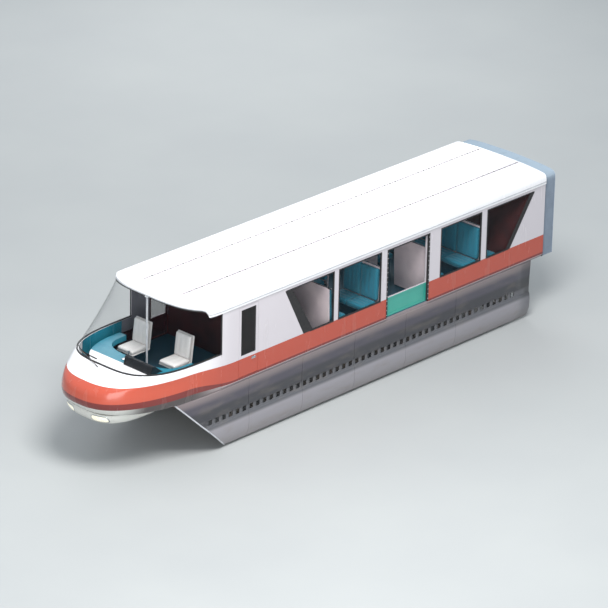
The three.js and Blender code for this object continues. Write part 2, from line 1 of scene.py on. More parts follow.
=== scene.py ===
# %% [markdown]
# # The lead car of a straddle-beam monorail
# The real car is a light white shell with a rounded glass nose, hung over
# two bogies that ride on a concrete beam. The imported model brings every
# solid at its real size. This lesson gives those solids their finish and
# adds what is too fine for them: seals, padding, pleats, trim and bolts.
# The model is loaded first, because every later piece is placed by it.

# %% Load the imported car
import math

import bmesh
import bpy
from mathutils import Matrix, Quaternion, Vector


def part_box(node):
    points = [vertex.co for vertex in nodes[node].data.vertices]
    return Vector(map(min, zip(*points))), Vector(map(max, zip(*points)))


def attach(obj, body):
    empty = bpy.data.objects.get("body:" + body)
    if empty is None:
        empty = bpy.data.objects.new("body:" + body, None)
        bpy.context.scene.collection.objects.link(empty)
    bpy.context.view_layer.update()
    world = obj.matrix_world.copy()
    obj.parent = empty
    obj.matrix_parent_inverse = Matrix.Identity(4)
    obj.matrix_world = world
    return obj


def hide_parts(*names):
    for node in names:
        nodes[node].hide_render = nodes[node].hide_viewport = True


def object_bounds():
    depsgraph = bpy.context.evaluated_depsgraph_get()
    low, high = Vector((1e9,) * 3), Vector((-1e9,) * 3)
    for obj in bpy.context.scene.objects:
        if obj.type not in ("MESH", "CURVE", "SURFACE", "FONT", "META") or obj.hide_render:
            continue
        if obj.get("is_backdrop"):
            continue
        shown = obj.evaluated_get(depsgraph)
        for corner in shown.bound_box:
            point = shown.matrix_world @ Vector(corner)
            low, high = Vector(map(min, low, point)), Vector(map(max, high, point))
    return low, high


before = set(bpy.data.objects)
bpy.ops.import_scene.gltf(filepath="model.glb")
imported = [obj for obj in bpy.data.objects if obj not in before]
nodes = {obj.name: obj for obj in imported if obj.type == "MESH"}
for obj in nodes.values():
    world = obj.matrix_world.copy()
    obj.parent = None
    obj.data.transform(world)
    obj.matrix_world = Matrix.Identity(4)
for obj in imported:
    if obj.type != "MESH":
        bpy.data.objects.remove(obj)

CAD_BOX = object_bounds()
SIDES = {"left": 1, "right": -1}
ENDS = {"rear": 0.75, "front": 8.39}
print(len(nodes), "solids, from", list(CAD_BOX[0]), "to", list(CAD_BOX[1]))

# %% [markdown]
# ## Stations and driving sizes
# A car builder measures along the car in stations, here in metres forward
# from the body's rear end. Sizes that the solids already know are read from
# their boxes. The rest are the car's own driving sizes, named once.

# %% Stations and driving sizes
BODY_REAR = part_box("roof")[0].x


def at(station):
    """X of a station measured forward from the body's rear end."""
    return BODY_REAR + station


NOSE_START = at(10.05)
NOSE_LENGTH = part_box("nose_cowl")[1].x - NOSE_START
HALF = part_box("side_wall_left")[1].y
ROOF_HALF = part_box("roof")[1].y
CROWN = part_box("roof")[1].z
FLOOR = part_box("floor_deck")[1].z
LEAF_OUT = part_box("door_leaf_left")[1].y
STRIPE_LOW, STRIPE_HIGH = 1.51, 1.92
WINDOW_TOP, WALL_TOP, RIM = 3.05, 3.13, 2.20
DOORWAY = (3.76, 5.08)
AXLE_Z = 1.56
print("half width", round(HALF, 3), "nose length", round(NOSE_LENGTH, 3))

# %% [markdown]
# ## The camera
# The photograph looks down on the car from its front left, from far away
# with a long lens, so its long sides hardly converge. A camera that far off
# with the same lens repeats those lines. It is aimed at the car's middle
# and leans by the small roll that the photograph has.

# %% Camera
CAMERA_AT = Vector((60.824, 57.436, 39.052))
TARGET = Vector((0.0, 0.04, 1.75))
CAMERA_ROLL = 0.02144

camera = bpy.data.objects.new("camera", bpy.data.cameras.new("camera"))
bpy.context.scene.collection.objects.link(camera)
camera.location = CAMERA_AT
camera.rotation_mode = "QUATERNION"
aim = (TARGET - CAMERA_AT).to_track_quat("-Z", "Y")
camera.rotation_quaternion = aim @ Quaternion((0, 0, 1), CAMERA_ROLL)
camera.data.lens = 255.0
camera.data.clip_end = 400
bpy.context.scene.camera = camera
print("camera", round((TARGET - CAMERA_AT).length, 1), "m away")

# %% [markdown]
# ## Light and sky
# High sun whitens the roof in the photograph. One large soft light overhead
# does that here, and a wider, weaker one fills the side that faces the
# camera. A pale sky lights the shadows under the skirts.

# %% Light and sky
LIGHTS = (
    # name, place, size, power
    ("key", (8, 10, 22), 9, 6200),
    ("fill", (22, 18, 7), 14, 2600),
    ("back", (-16, -18, 14), 14, 2200),
)
for name, place, size, power in LIGHTS:
    light = bpy.data.objects.new(name, bpy.data.lights.new(name, "AREA"))
    bpy.context.scene.collection.objects.link(light)
    light.data.size = size
    light.data.energy = power
    light.location = place
    light.rotation_mode = "QUATERNION"
    light.rotation_quaternion = (TARGET - Vector(place)).to_track_quat("-Z", "Y")

world = bpy.data.worlds.new("sky")
world.use_nodes = True
sky = world.node_tree.nodes["Background"]
sky.inputs["Color"].default_value = (0.78, 0.86, 0.94, 1)
sky.inputs["Strength"].default_value = 0.8
bpy.context.scene.world = world
bpy.context.scene.view_settings.view_transform = "Standard"
print(len(LIGHTS), "soft lights")

# %% [markdown]
# ## Writing shader maths as plain expressions
# A finish is a small sum: this paint, less that dirt, where a mask says so.
# A class that wraps a socket lets the sum be written as Python writes it,
# and each operator adds its Math node. Any other node comes from one
# method, so every finish below reads as a short recipe.

# %% Sockets
class Wire:
    """An output socket that may be used in an expression."""

    def __init__(self, finish, socket):
        self.finish, self.socket = finish, socket

    def maths(self, operation, first, second):
        return self.finish.node("ShaderNodeMath", {"operation": operation}, {0: first, 1: second})

    def __add__(self, other):
        return self.maths("ADD", self, other)

    def __sub__(self, other):
        return self.maths("SUBTRACT", self, other)

    def __rsub__(self, other):
        return self.maths("SUBTRACT", other, self)

    def __mul__(self, other):
        return self.maths("MULTIPLY", self, other)

    def __gt__(self, other):
        return self.maths("GREATER_THAN", self, other)

    def __lt__(self, other):
        return self.maths("LESS_THAN", self, other)

    __radd__ = __add__
    __rmul__ = __mul__


# %% [markdown]
# ## One class for every finish
# The car's meshes are built in place, so object coordinates are the car's
# own coordinates in metres. That gives every finish the height and the
# station at once, and a pattern keeps its real size on every piece.

# %% Finishes
class Finish:
    """A material with the car's coordinates at hand, and one method that adds any node."""

    def __init__(self, name, **constants):
        self.material = bpy.data.materials.new(name)
        self.material.use_nodes = True
        self.tree = self.material.node_tree
        self.shader = self.tree.nodes["Principled BSDF"]
        for words, value in constants.items():
            self.shader.inputs[words.replace("_", " ")].default_value = value
        self.place = self.node("ShaderNodeTexCoord", output="Object")
        self.x, self.y, self.z = self.parts(self.place)

    def node(self, kind, settings=None, inputs=None, output=0):
        made = self.tree.nodes.new(kind)
        for key, value in (settings or {}).items():
            setattr(made, key, value)
        for key, value in (inputs or {}).items():
            self.feed(made.inputs[key], value)
        return Wire(self, made.outputs[output])

    def feed(self, socket, value):
        if isinstance(value, Wire):
            self.tree.links.new(value.socket, socket)
        else:
            socket.default_value = value

    def parts(self, vector):
        split = self.node("ShaderNodeSeparateXYZ", None, {0: vector}).socket.node
        return [Wire(self, split.outputs[axis]) for axis in "XYZ"]

    def blend(self, first, second, factor):
        return self.node("ShaderNodeMix", {"data_type": "RGBA"}, {0: factor, 6: first, 7: second}, 2)

    def noise(self, scale, detail=3.0, stretch=(1, 1, 1)):
        place = self.node("ShaderNodeVectorMath", {"operation": "MULTIPLY"}, {0: self.place, 1: stretch})
        return self.node("ShaderNodeTexNoise", None, {"Vector": place, "Scale": scale, "Detail": detail})

    def inward(self):
        """1 on the faces that look in at the car's middle line or the cab, 0 on the others."""
        along = self.node("ShaderNodeMath", {"operation": "MAXIMUM"}, {0: self.x - NOSE_START, 1: 0.0})
        normal = self.parts(self.node("ShaderNodeTexCoord", output="Normal"))
        return (normal[0] * along + normal[1] * self.y) < -0.15

    def step(self, value, low, high):
        """0 below low and 1 above high, with a soft rise between."""
        limits = {"Value": value, "From Min": low, "From Max": high}
        return self.node("ShaderNodeMapRange", {"interpolation_type": "SMOOTHSTEP"}, limits)

    def wave(self, value, pitch):
        """A smooth ridge from 0 to 1 that repeats every pitch metres."""
        turn = value * (2 * math.pi / pitch)
        return self.node("ShaderNodeMath", {"operation": "SINE"}, {0: turn}) * 0.5 + 0.5

    def apply(self, colour=None, roughness=None, height=None, distance=0.001, **others):
        """Feeds the shader, with height as a bump that is distance deep."""
        others.update({"Base Color": colour, "Roughness": roughness})
        for socket, value in others.items():
            if value is not None:
                self.feed(self.shader.inputs[socket], value)
        if height is not None:
            bump = self.node("ShaderNodeBump", None, {"Height": height, "Distance": distance})
            self.feed(self.shader.inputs["Normal"], bump)
        return self.material


def srgb(red, green, blue):
    """A colour as the eye reads it from 0 to 255, turned into light."""
    parts = [c / 255 for c in (red, green, blue)]
    return (*[c / 12.92 if c <= 0.04045 else ((c + 0.055) / 1.055) ** 2.4 for c in parts], 1.0)


print("finish kit ready, mid grey is", [round(c, 3) for c in srgb(128, 128, 128)])

# %% [markdown]
# ## Gloss paint and the livery
# The body is painted in bands that run round the car: white, a coral
# stripe, a dark red line under it and a pale sill. The dark red line is
# painted shade under the stripe. At the nose they lift, the red line of
# painted shade widens and the sill turns to a dark grey that is painted
# shade where the cowl turns under, then white at the tip. Bands could be
# separate faces, but then each door and the nose would need cuts at the
# same heights. Reading the height in the shader keeps them in line.
# The walls are a greyer white than the roof and the nose, and their coral
# is darker than the nose's: both are painted shade on the car's sides.
# Rain streaks and a little road film keep the gloss from looking new.
# A wall is one sheet with its lining, so the faces that look inward are
# told by their normal and take the lining: pale panels in the saloon,
# maroon ones low down and in the cab, grey above them in the cab, which is
# painted shade on the white inside of the wall, and teal round the dash.

# %% Body paint
# The walls' greyer white is painted shade on the car's sides.
WHITE, SHADED_WALL_WHITE = srgb(240, 238, 238), srgb(195, 189, 193)
FILM = srgb(158, 148, 140)
BULKHEAD = at(8.95)
# The dark red line under the stripe, and its spread at the nose, are painted shade.
NOSE_LIFT, SHADE_LINE_WIDTH, SHADE_LINE_SPREAD = 0.095, 0.050, 0.090


def lining(paint):
    """Colour of the inside: pale over maroon in the saloon, maroon and a grey of painted shade in the cab,
    teal at the dash.
    """
    grain = paint.noise(5.0, 4.0)
    maroon = paint.blend(srgb(70, 28, 32), srgb(54, 22, 26), grain)
    pale = paint.blend(srgb(196, 192, 192), srgb(180, 176, 178), grain)
    # The grey above the stripe in the cab is painted shade on the white inside of the wall.
    cab_shade_grey = paint.blend(srgb(132, 132, 138), srgb(112, 112, 120), grain)
    teal = paint.blend(srgb(40, 128, 146), srgb(28, 108, 128), grain)
    teal = paint.blend(teal, WHITE, paint.x > at(11.62))
    upper = paint.z > STRIPE_HIGH
    saloon = paint.blend(maroon, pale, upper)
    cab = paint.blend(maroon, cab_shade_grey, upper * (paint.x > at(9.58)))
    cab = paint.blend(cab, teal, (paint.z > 1.80) * (paint.x > at(10.35)))
    return paint.blend(saloon, cab, paint.x > BULKHEAD)


def body_paint(name, banded):
    """White gloss, with the livery's bands outside and the lining inside where banded is true."""
    paint = Finish(name, Coat_Weight=0.5, Coat_Roughness=0.08)
    colour = paint.blend(WHITE, srgb(228, 227, 230), paint.noise(0.9, 4.0))
    if banded:
        front = paint.step(paint.x, NOSE_START - 0.4, NOSE_START + 0.9)
        # Painted shade: along the walls the white turns grey.
        colour = paint.blend(SHADED_WALL_WHITE, colour, front)
        level = paint.z - front * NOSE_LIFT
        # Under the nose the sill is dark grey, painted shade where the cowl turns under.
        below = paint.blend(srgb(178, 162, 162), srgb(70, 62, 62), front)
        below = paint.blend(below, srgb(198, 198, 192), paint.step(paint.x, at(11.9), at(12.5)))
        # The coral is darker along the sides than on the nose: painted shade.
        coral = paint.blend(srgb(170, 69, 51), srgb(184, 77, 55), front)
        colour = paint.blend(colour, coral, level < STRIPE_HIGH)
        # Painted shade: the dark red line under the stripe, wider at the nose.
        colour = paint.blend(colour, srgb(112, 36, 32), level < front * SHADE_LINE_SPREAD + STRIPE_LOW)
        colour = paint.blend(colour, below, level < STRIPE_LOW - SHADE_LINE_WIDTH)
    streaks = paint.step(paint.noise(4.0, 4.0, (1.6, 1.6, 0.25)), 0.52, 0.85) * 0.12
    colour = paint.blend(colour, FILM, streaks)
    if banded:
        colour = paint.blend(colour, lining(paint), paint.inward())
    return paint.apply(colour, streaks * 0.9 + 0.25, paint.noise(60.0, 2.0), 0.0002)


body_white = body_paint("body_white_paint", False)
livery = body_paint("livery_paint", True)
print("paints", body_white.name, livery.name)

# %% [markdown]
# ## Skirts and chin
# The skirts hang beside the beam and catch its dust. Their paint runs in
# soft bands of grey: pale under the sill, darkest above the louvres and
# pale again on the bulge below. The darker bands are painted shade under
# the body's overhang. A table of heights holds the bands, and the film is
# thickest low down. The chin under the nose is a pale fairing grey.

# %% Skirt and fairing paint
SKIRT_SHADE_BANDS = (
    # from height, to height, colour above
    (0.52, 0.60, srgb(84, 84, 88)), (0.74, 0.82, srgb(54, 54, 59)),
    (0.98, 1.08, srgb(72, 69, 79)), (1.16, 1.34, srgb(122, 111, 112)),
)


def skirt_paint():
    paint = Finish("skirt_paint", Coat_Weight=0.3, Coat_Roughness=0.2)
    colour = srgb(140, 137, 142)
    # The darker bands above the louvres are painted shade under the body.
    for low, high, above in SKIRT_SHADE_BANDS:
        colour = paint.blend(colour, above, paint.step(paint.z, low, high))
    dust = paint.step(paint.noise(3.0, 6.0, (0.6, 1.0, 2.0)), 0.45, 0.85) * 0.35
    low_dust = dust + (1 - paint.step(paint.z, 0.0, 0.5)) * 0.25
    colour = paint.blend(colour, srgb(128, 118, 108), low_dust)
    return paint.apply(colour, low_dust * 0.5 + 0.38, paint.noise(40.0, 2.0), 0.0003)


def fairing_paint():
    paint = Finish("fairing_paint", Coat_Weight=0.4, Coat_Roughness=0.12)
    colour = paint.blend(srgb(214, 214, 208), srgb(196, 194, 186), paint.noise(2.0, 5.0))
    splash = paint.step(paint.noise(14.0, 5.0), 0.55, 0.75) * 0.3
    return paint.apply(paint.blend(colour, FILM, splash), splash + 0.3)


skirt_grey = skirt_paint()
fairing = fairing_paint()
print("paints", skirt_grey.name, fairing.name)

# %% [markdown]
# ## Glass
# Laminated glass is clear looked at straight and mirrors at a low angle.
# Its alpha follows the Fresnel law, so the seats show through the side
# windows and the sky still slides over the bulging nose. Only the face
# towards the eye counts, since inside a sheet the same law would mirror
# everything. A faint haze keeps the glass from vanishing.

# %% Glass
def glass_sheet(name, tint, body):
    """Clear glass, with body as the least part of the light that it stops."""
    glass = Finish(name, Base_Color=tint, IOR=1.5)
    edge = glass.node("ShaderNodeFresnel", None, {"IOR": 1.45})
    front = 1 - glass.node("ShaderNodeNewGeometry", output="Backfacing")
    haze = glass.step(glass.noise(1.6, 5.0), 0.4, 0.8)
    return glass.apply(roughness=haze * 0.05 + 0.02, Alpha=front * (edge * 0.85 + haze * 0.04 + body))


side_glass = glass_sheet("side_glass", srgb(26, 38, 42), 0.12)
nose_glass = glass_sheet("nose_glass", srgb(30, 40, 44), 0.03)
# The pilot's panes are darker glass that stops most of the light.
dark_pilot_glass = glass_sheet("dark_pilot_glass", srgb(14, 16, 18), 0.62)
print("glass", side_glass.name, nose_glass.name, dark_pilot_glass.name)

# %% [markdown]
# ## Quieter finishes from one recipe
# Rubber, vinyl, laminate, cloth and painted steel differ in colour, shine
# and grain, but each is two close colours mixed by a noise, a roughness
# that follows it and a fine bump. One function makes them all from a table
# row, so no surface is a single flat colour.

# %% Table of finishes
FINISHES = {
    # name: colour, second colour, noise scale, roughness, metallic, bump depth
    "rubber": (srgb(24, 24, 26), srgb(40, 38, 38), 30, 0.62, 0, 0.0004),
    "tyre_rubber": (srgb(30, 29, 30), srgb(58, 54, 50), 9, 0.80, 0, 0.0010),
    "trim_paint": (srgb(190, 192, 194), srgb(172, 174, 178), 6, 0.40, 0, 0.0002),
    "alloy": (srgb(188, 190, 192), srgb(160, 162, 166), 24, 0.28, 1, 0.0002),
    "stainless_tube": (srgb(200, 201, 204), srgb(180, 182, 186), 12, 0.20, 1, 0.0001),
    "frame_paint": (srgb(74, 76, 80), srgb(96, 88, 80), 5, 0.55, 0, 0.0006),
    "machined_steel": (srgb(150, 148, 146), srgb(116, 112, 108), 14, 0.35, 1, 0.0003),
    "laminate": (srgb(70, 30, 30), srgb(54, 24, 25), 4, 0.42, 0, 0.0003),
    "cab_lining": (srgb(66, 28, 30), srgb(48, 22, 24), 3, 0.55, 0, 0.0003),
    "floor_vinyl": (srgb(40, 92, 110), srgb(30, 74, 94), 120, 0.60, 0, 0.0004),
    "seat_shell": (srgb(228, 212, 214), srgb(214, 198, 202), 3, 0.38, 0, 0.0002),
    "white_vinyl": (srgb(236, 232, 228), srgb(216, 212, 208), 160, 0.45, 0, 0.0004),
    "instrument_black": (srgb(22, 23, 26), srgb(36, 38, 42), 10, 0.30, 0, 0.0001),
    "gauge_face": (srgb(96, 104, 110), srgb(70, 78, 84), 60, 0.22, 0, 0.0001),
    "lamp_lens": (srgb(250, 246, 226), srgb(226, 220, 196), 40, 0.12, 0, 0.0006),
    "cable_cover": (srgb(34, 34, 36), srgb(52, 50, 48), 18, 0.66, 0, 0.0005),
    "primer": (srgb(112, 92, 84), srgb(88, 80, 78), 4, 0.66, 0, 0.0006),
    "sealant": (srgb(150, 136, 140), srgb(128, 118, 124), 30, 0.70, 0, 0.0004),
    "light_diffuser": (srgb(246, 246, 240), srgb(232, 232, 226), 8, 0.50, 0, 0.0002),
}


def plain_finish(name, first, second, scale, roughness, metallic, depth):
    finish = Finish(name, Metallic=float(metallic))
    grain = finish.noise(scale, 4.0)
    worn = finish.step(finish.noise(1.3, 5.0), 0.45, 0.8)
    colour = finish.blend(first, second, finish.step(grain, 0.35, 0.65))
    return finish.apply(colour, grain * 0.10 + worn * 0.10 + (roughness - 0.08), grain, depth)


paints = {name: plain_finish(name, *row) for name, row in FINISHES.items()}
lens = paints["lamp_lens"].node_tree.nodes["Principled BSDF"]
lens.inputs["Emission Color"].default_value = srgb(255, 250, 232)
lens.inputs["Emission Strength"].default_value = 0.25
print(len(paints), "finishes from the table")

# %% [markdown]
# ## Woven cloth and pleated fabric
# The seats wear a teal transport weave. Two sets of fine ridges crossed at
# right angles give the threads, and a slow noise gives the worn places.
# The gangway's coated fabric is smoother. Its top is painted lighter, a
# painted highlight where the sun falls on it, and dirt is caught in its folds.

# %% Seat weave and bellows fabric
def seat_weave():
    cloth = Finish("seat_weave", Sheen_Weight=0.3, Sheen_Roughness=0.4)
    threads = cloth.wave(cloth.y, 0.006) * cloth.wave(cloth.x + cloth.z, 0.006)
    fleck = cloth.step(cloth.noise(220.0, 2.0), 0.45, 0.6)
    colour = cloth.blend(srgb(28, 110, 134), srgb(50, 147, 168), fleck)
    worn = cloth.step(cloth.noise(2.2, 4.0), 0.5, 0.8) * 0.3
    colour = cloth.blend(colour, srgb(82, 150, 160), worn)
    return cloth.apply(colour, 0.92 - worn * 0.3, threads, 0.0006)


def gangway_fabric():
    cloth = Finish("gangway_fabric")
    colour = cloth.blend(srgb(124, 136, 149), srgb(102, 113, 127), cloth.noise(3.0, 5.0))
    # Painted highlight: the top of the gangway is lighter where the sun falls.
    colour = cloth.blend(colour, srgb(150, 165, 177), cloth.step(cloth.z, 3.12, 3.36))
    grime = cloth.step(cloth.noise(8.0, 5.0, (0.5, 1, 2)), 0.55, 0.85) * 0.4
    colour = cloth.blend(colour, srgb(92, 96, 102), grime)
    return cloth.apply(colour, grime * 0.3 + 0.62, cloth.noise(180.0, 2.0), 0.0004)


weave = seat_weave()
fabric = gangway_fabric()
print("cloths", weave.name, fabric.name)

# %% [markdown]
# ## Making shapes
# Sheet metal, rubber strips and mouldings are all sections carried along a
# line, or rows of points joined by faces. One small class holds those two
# ways and the few simple bodies made from them. Everything is built at its
# place in the car, so no piece needs moving afterwards.

# %% Form
AXES = {"X": (2, 0, 1), "Y": (0, 2, 1), "Z": (0, 1, 2)}


class Form:
    """A mesh built face by face in the car's own frame."""

    def __init__(self):
        self.mesh = bmesh.new()

    def sheet(self, rows, around=False, along=False, keep=None):
        """Faces between rows of points. around closes each row, along closes the set of rows."""
        grid = [[self.mesh.verts.new(point) for point in row] for row in rows]
        wide, deep = len(grid[0]), len(grid)
        for r in range(deep if along else deep - 1):
            here, there = grid[r], grid[(r + 1) % deep]
            for i in range(wide if around else wide - 1):
                if keep is None or keep(r, i):
                    j = (i + 1) % wide
                    self.mesh.faces.new((here[i], here[j], there[j], there[i]))
        return grid

    def loft(self, rows):
        """Closed rings joined into a body, both ends capped."""
        grid = self.sheet(rows, around=True)
        self.mesh.faces.new(grid[0])
        self.mesh.faces.new(grid[-1])
        return self

    def prism(self, outline, axis, start, end):
        """An outline in the plane across axis, swept along it."""
        order = AXES[axis]
        return self.loft([[[(a, b, depth)[k] for k in order] for a, b in outline] for depth in (start, end)])

    def box(self, low, high):
        corners = [(low[0], low[1]), (high[0], low[1]), (high[0], high[1]), (low[0], high[1])]
        return self.prism(corners, "Z", low[2], high[2])

    def lathe(self, profile, centre, axis, steps=32):
        """A closed profile of (radius, height) pairs turned about axis through centre."""
        rows = []
        for k in range(steps):
            turn = 2 * math.pi * k / steps
            ring = [(r * math.cos(turn), r * math.sin(turn), h) for r, h in profile]
            rows.append([Vector(centre) + Vector([spot[k] for k in AXES[axis]]) for spot in ring])
        self.sheet(rows, around=True, along=True)
        return self

    def sweep(self, path, section, up=(0, 0, 1), closed=False):
        """A section of (side, up) points carried along a path, mitred at its corners."""
        path, up, rows = [Vector(p) for p in path], Vector(up), []
        last = len(path) - 1
        for i, spot in enumerate(path):
            before = (spot - path[i - 1]) if i or closed else path[1] - path[0]
            after = (path[(i + 1) % len(path)] - spot) if i < last or closed else spot - path[i - 1]
            heading = (before.normalized() + after.normalized()).normalized()
            side = heading.cross(up).normalized()
            lift = side.cross(heading)
            mitre = 1 / max(0.6, heading.dot(after.normalized()))
            rows.append([spot + side * (a * mitre) + lift * b for a, b in section])
        if closed:
            self.sheet(rows, around=True, along=True)
            return self
        return self.loft(rows)

    def tube(self, path, radius, sides=12, up=(0, 0, 1), closed=False):
        return self.sweep(path, circle(radius, sides), up, closed)

    def studs(self, spots, axis, radius, height, sides=8):
        """Low round heads standing on the spots along axis. A negative height turns them round."""
        for spot in spots:
            profile = [(0, 0), (radius, 0), (radius, height * 0.5), (radius * 0.6, height), (0, height)]
            self.lathe(profile, spot, axis, sides)
        return self


def circle(radius, sides=12):
    turns = [2 * math.pi * k / sides for k in range(sides)]
    return [(radius * math.cos(t), radius * math.sin(t)) for t in turns]


def bar(wide, low, high):
    """A flat bar's section, wide across and from low to high."""
    return [(-wide / 2, low), (wide / 2, low), (wide / 2, high), (-wide / 2, high)]


print("form kit ready, a 30 mm tube has", len(circle(0.015)), "sides")

# %% [markdown]
# ## Smooth lines through measured points
# The solids follow the car's curves in a few flat steps. A Catmull-Rom
# curve passes through the same points and fills in between them, so a fine
# shell lies on the solid's own corners and stays inside its size.

# %% Curves
def smooth(points, steps=6):
    """The points joined by a smooth curve, with steps to a span."""
    ends = [points[0], *points, points[-1]]
    made = []
    for quad in zip(ends, ends[1:], ends[2:], ends[3:]):
        for k in range(steps):
            t = k / steps
            made.append(tuple(
                b + 0.5 * t * (c - a + t * (2 * a - 5 * b + 4 * c - d + t * (3 * b - a - 3 * c + d)))
                for a, b, c, d in zip(*quad)))
    return [*made, tuple(points[-1])]


def mirrored(half):
    """A line from the left side to the middle, carried on to the right side."""
    return [*half, *((-y, z) for y, z in reversed(half[:-1]))]


def between(table, key):
    """The row of a table at key, its first column, with straight lines between rows."""
    for low, high in zip(table, table[1:]):
        if low[0] <= key <= high[0] or key <= low[0]:
            break
    part = min(1, max(0, (key - low[0]) / (high[0] - low[0])))
    return [a + (b - a) * part for a, b in zip(low, high)]


def nose_curve(reach, half, power, start=NOSE_START, steps=72):
    """Half a superellipse in plan, from the right side round the front to the left."""
    spots = []
    for k in range(steps + 1):
        angle = math.pi * (k / steps - 0.5)
        across = math.copysign(abs(math.sin(angle)) ** (2 / power), angle)
        spots.append((start + reach * max(0.0, math.cos(angle)) ** (2 / power), half * across))
    return spots


print("a nose curve has", len(nose_curve(1, 1, 2)), "points")

# %% [markdown]
# ## Turning forms into pieces
# A finished form becomes an object that rides on one of the car's bodies,
# so it moves with its wheel or door. Its edges are shaded smooth up to an
# angle, as on real mouldings, and a small bevel catches the light. A CAD
# solid that needs no finer shape is only dressed: it gets the finish, the
# shading and the bevel, and keeps its own mesh.

# %% Pieces and dressed solids
made_pieces = []


def shade(piece, finish, bevel, angle):
    piece.data.materials.clear()
    piece.data.materials.append(finish)
    piece.data.shade_smooth()
    piece.data.set_sharp_from_angle(angle=math.radians(angle))
    if bevel:
        rounding = piece.modifiers.new("edges", "BEVEL")
        rounding.width, rounding.segments = bevel, 2
        rounding.limit_method, rounding.angle_limit = "ANGLE", math.radians(40)


def make(name, form, finish, body="car", replaces=(), bevel=0.0, thick=0.0, out=None, angle=38):
    """The form as a piece. thick gives an open sheet its thickness behind the face that looks out."""
    bmesh.ops.remove_doubles(form.mesh, verts=form.mesh.verts, dist=2e-6)
    bmesh.ops.recalc_face_normals(form.mesh, faces=form.mesh.faces)
    if out is not None:
        facing = sum(f.calc_area() * f.normal.dot(Vector(out)) for f in form.mesh.faces)
        if facing < 0:
            bmesh.ops.reverse_faces(form.mesh, faces=form.mesh.faces)
    mesh = bpy.data.meshes.new(name)
    form.mesh.to_mesh(mesh)
    form.mesh.free()
    piece = bpy.data.objects.new(name, mesh)
    bpy.context.scene.collection.objects.link(piece)
    if thick:
        shell = piece.modifiers.new("thickness", "SOLIDIFY")
        shell.thickness, shell.offset = thick, -1
    shade(piece, finish, bevel, angle)
    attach(piece, body)
    if replaces:
        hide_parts(*replaces)
    made_pieces.append(name)
    return piece


def dress(finish, *names, bevel=0.0, angle=30):
    for name in names:
        shade(nodes[name], finish, bevel, angle)


print("pieces can be made, and solids dressed")

# %% [markdown]
# ## The floor
# A large matt floor takes the car's shadow. It is only a stage, so it is
# kept out of the car's size and out of its pieces.

# %% Floor
FLOOR_REACH = 90
corners = [(x * FLOOR_REACH, y * FLOOR_REACH, 0) for x, y in ((-1, -1), (1, -1), (1, 1), (-1, 1))]
floor = bpy.data.meshes.new("floor")
floor.from_pydata(corners, [], [(0, 1, 2, 3)])
ground = bpy.data.objects.new("floor", floor)
bpy.context.scene.collection.objects.link(ground)
grey = Finish("floor_grey")
cloudy = grey.blend(srgb(176, 178, 176), srgb(166, 168, 168), grey.noise(0.3, 3.0))
floor.materials.append(grey.apply(cloudy, 0.9))
ground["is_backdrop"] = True
print("the floor is stage, the car stands on it")

# %% [markdown]
# ## Roof
# The real roof is a moulded shell with rounded shoulders that runs on past
# the cab and ends in a curved visor. Its cross-section is one outline along
# the whole length, so the shell is made of lengthwise strips, each ending
# where the visor's curve cuts it. A low lip rounds the visor's edge.

# %% Roof shell
ROOF_LINE = [
    # half width, height
    (1.360, 3.190), (1.356, 3.255), (1.336, 3.318), (1.286, 3.358),
    (1.130, 3.382), (0.780, 3.407), (0.400, 3.420), (0.0, CROWN),
]
ROOF_UNDER = [(1.3125, 3.135), *((y * 0.965, z - 0.055) for y, z in ROOF_LINE[1:])]
VISOR_REACH, VISOR_POWER = 0.88, 2.7
EAVE_UNDER = WALL_TOP + 0.0004
ROOF_PLATES = ((0.002, 0.030), (8.945, 8.975))


def rising(line):
    """The line as (half width, height) rows from the middle outwards, made smooth."""
    return sorted(smooth(line, 8))


OUTER, UNDER = rising(ROOF_LINE), rising(ROOF_UNDER)


def roof_height(y):
    return between(OUTER, abs(y))[1]


def under_height(y):
    return EAVE_UNDER if abs(y) > ROOF_UNDER[0][0] else between(UNDER, abs(y))[1]


def roof_shell():
    form, rows = Form(), []
    plan = nose_curve(VISOR_REACH, ROOF_HALF, VISOR_POWER, steps=120)
    for x, y in [(NOSE_START, -ROOF_HALF), *plan[1:-1], (NOSE_START, ROOF_HALF)]:
        top, low = roof_height(y), under_height(y)
        lip = min(0.012, (top - low) / 3)
        rows.append([
            (at(0.0003), y, low), (at(0.0003), y, top), (x - lip, y, top),
            (x - lip * 0.3, y, top - lip * 0.3), (x, y, top - lip), (x, y, low)])
    form.loft(rows)
    edge = mirrored([(1.31, EAVE_UNDER), *((y, z + 0.01) for y, z in reversed(UNDER))])
    for rear, front in ROOF_PLATES:
        form.prism(edge, "X", at(rear), at(front))
    return form


make("roof_shell", roof_shell(), body_white, replaces=["roof"], angle=32)
print("roof", len(OUTER), "points to a side, shoulder at", round(roof_height(1.3), 3))

# %% [markdown]
# ## Gutters and roof seams
# A small gutter runs along each eave and on round the visor. It keeps rain
# off the doors and reads as a thin grey line. Two seams run along the
# crown where the roof's three strakes are riveted together.

# %% Gutters and seams
gutter = Form()
eave = nose_curve(VISOR_REACH, ROOF_HALF, VISOR_POWER, steps=60)
line = [(at(0.01), -ROOF_HALF, 3.19), *((x, y, max(3.19, under_height(y) + 0.02)) for x, y in eave),
        (at(0.01), ROOF_HALF, 3.19)]
gutter.sweep(line, [(-0.004, -0.012), (0.010, -0.012), (0.010, 0.006), (0.004, 0.006), (-0.004, -0.002)])
make("gutter", gutter, paints["trim_paint"], angle=50)

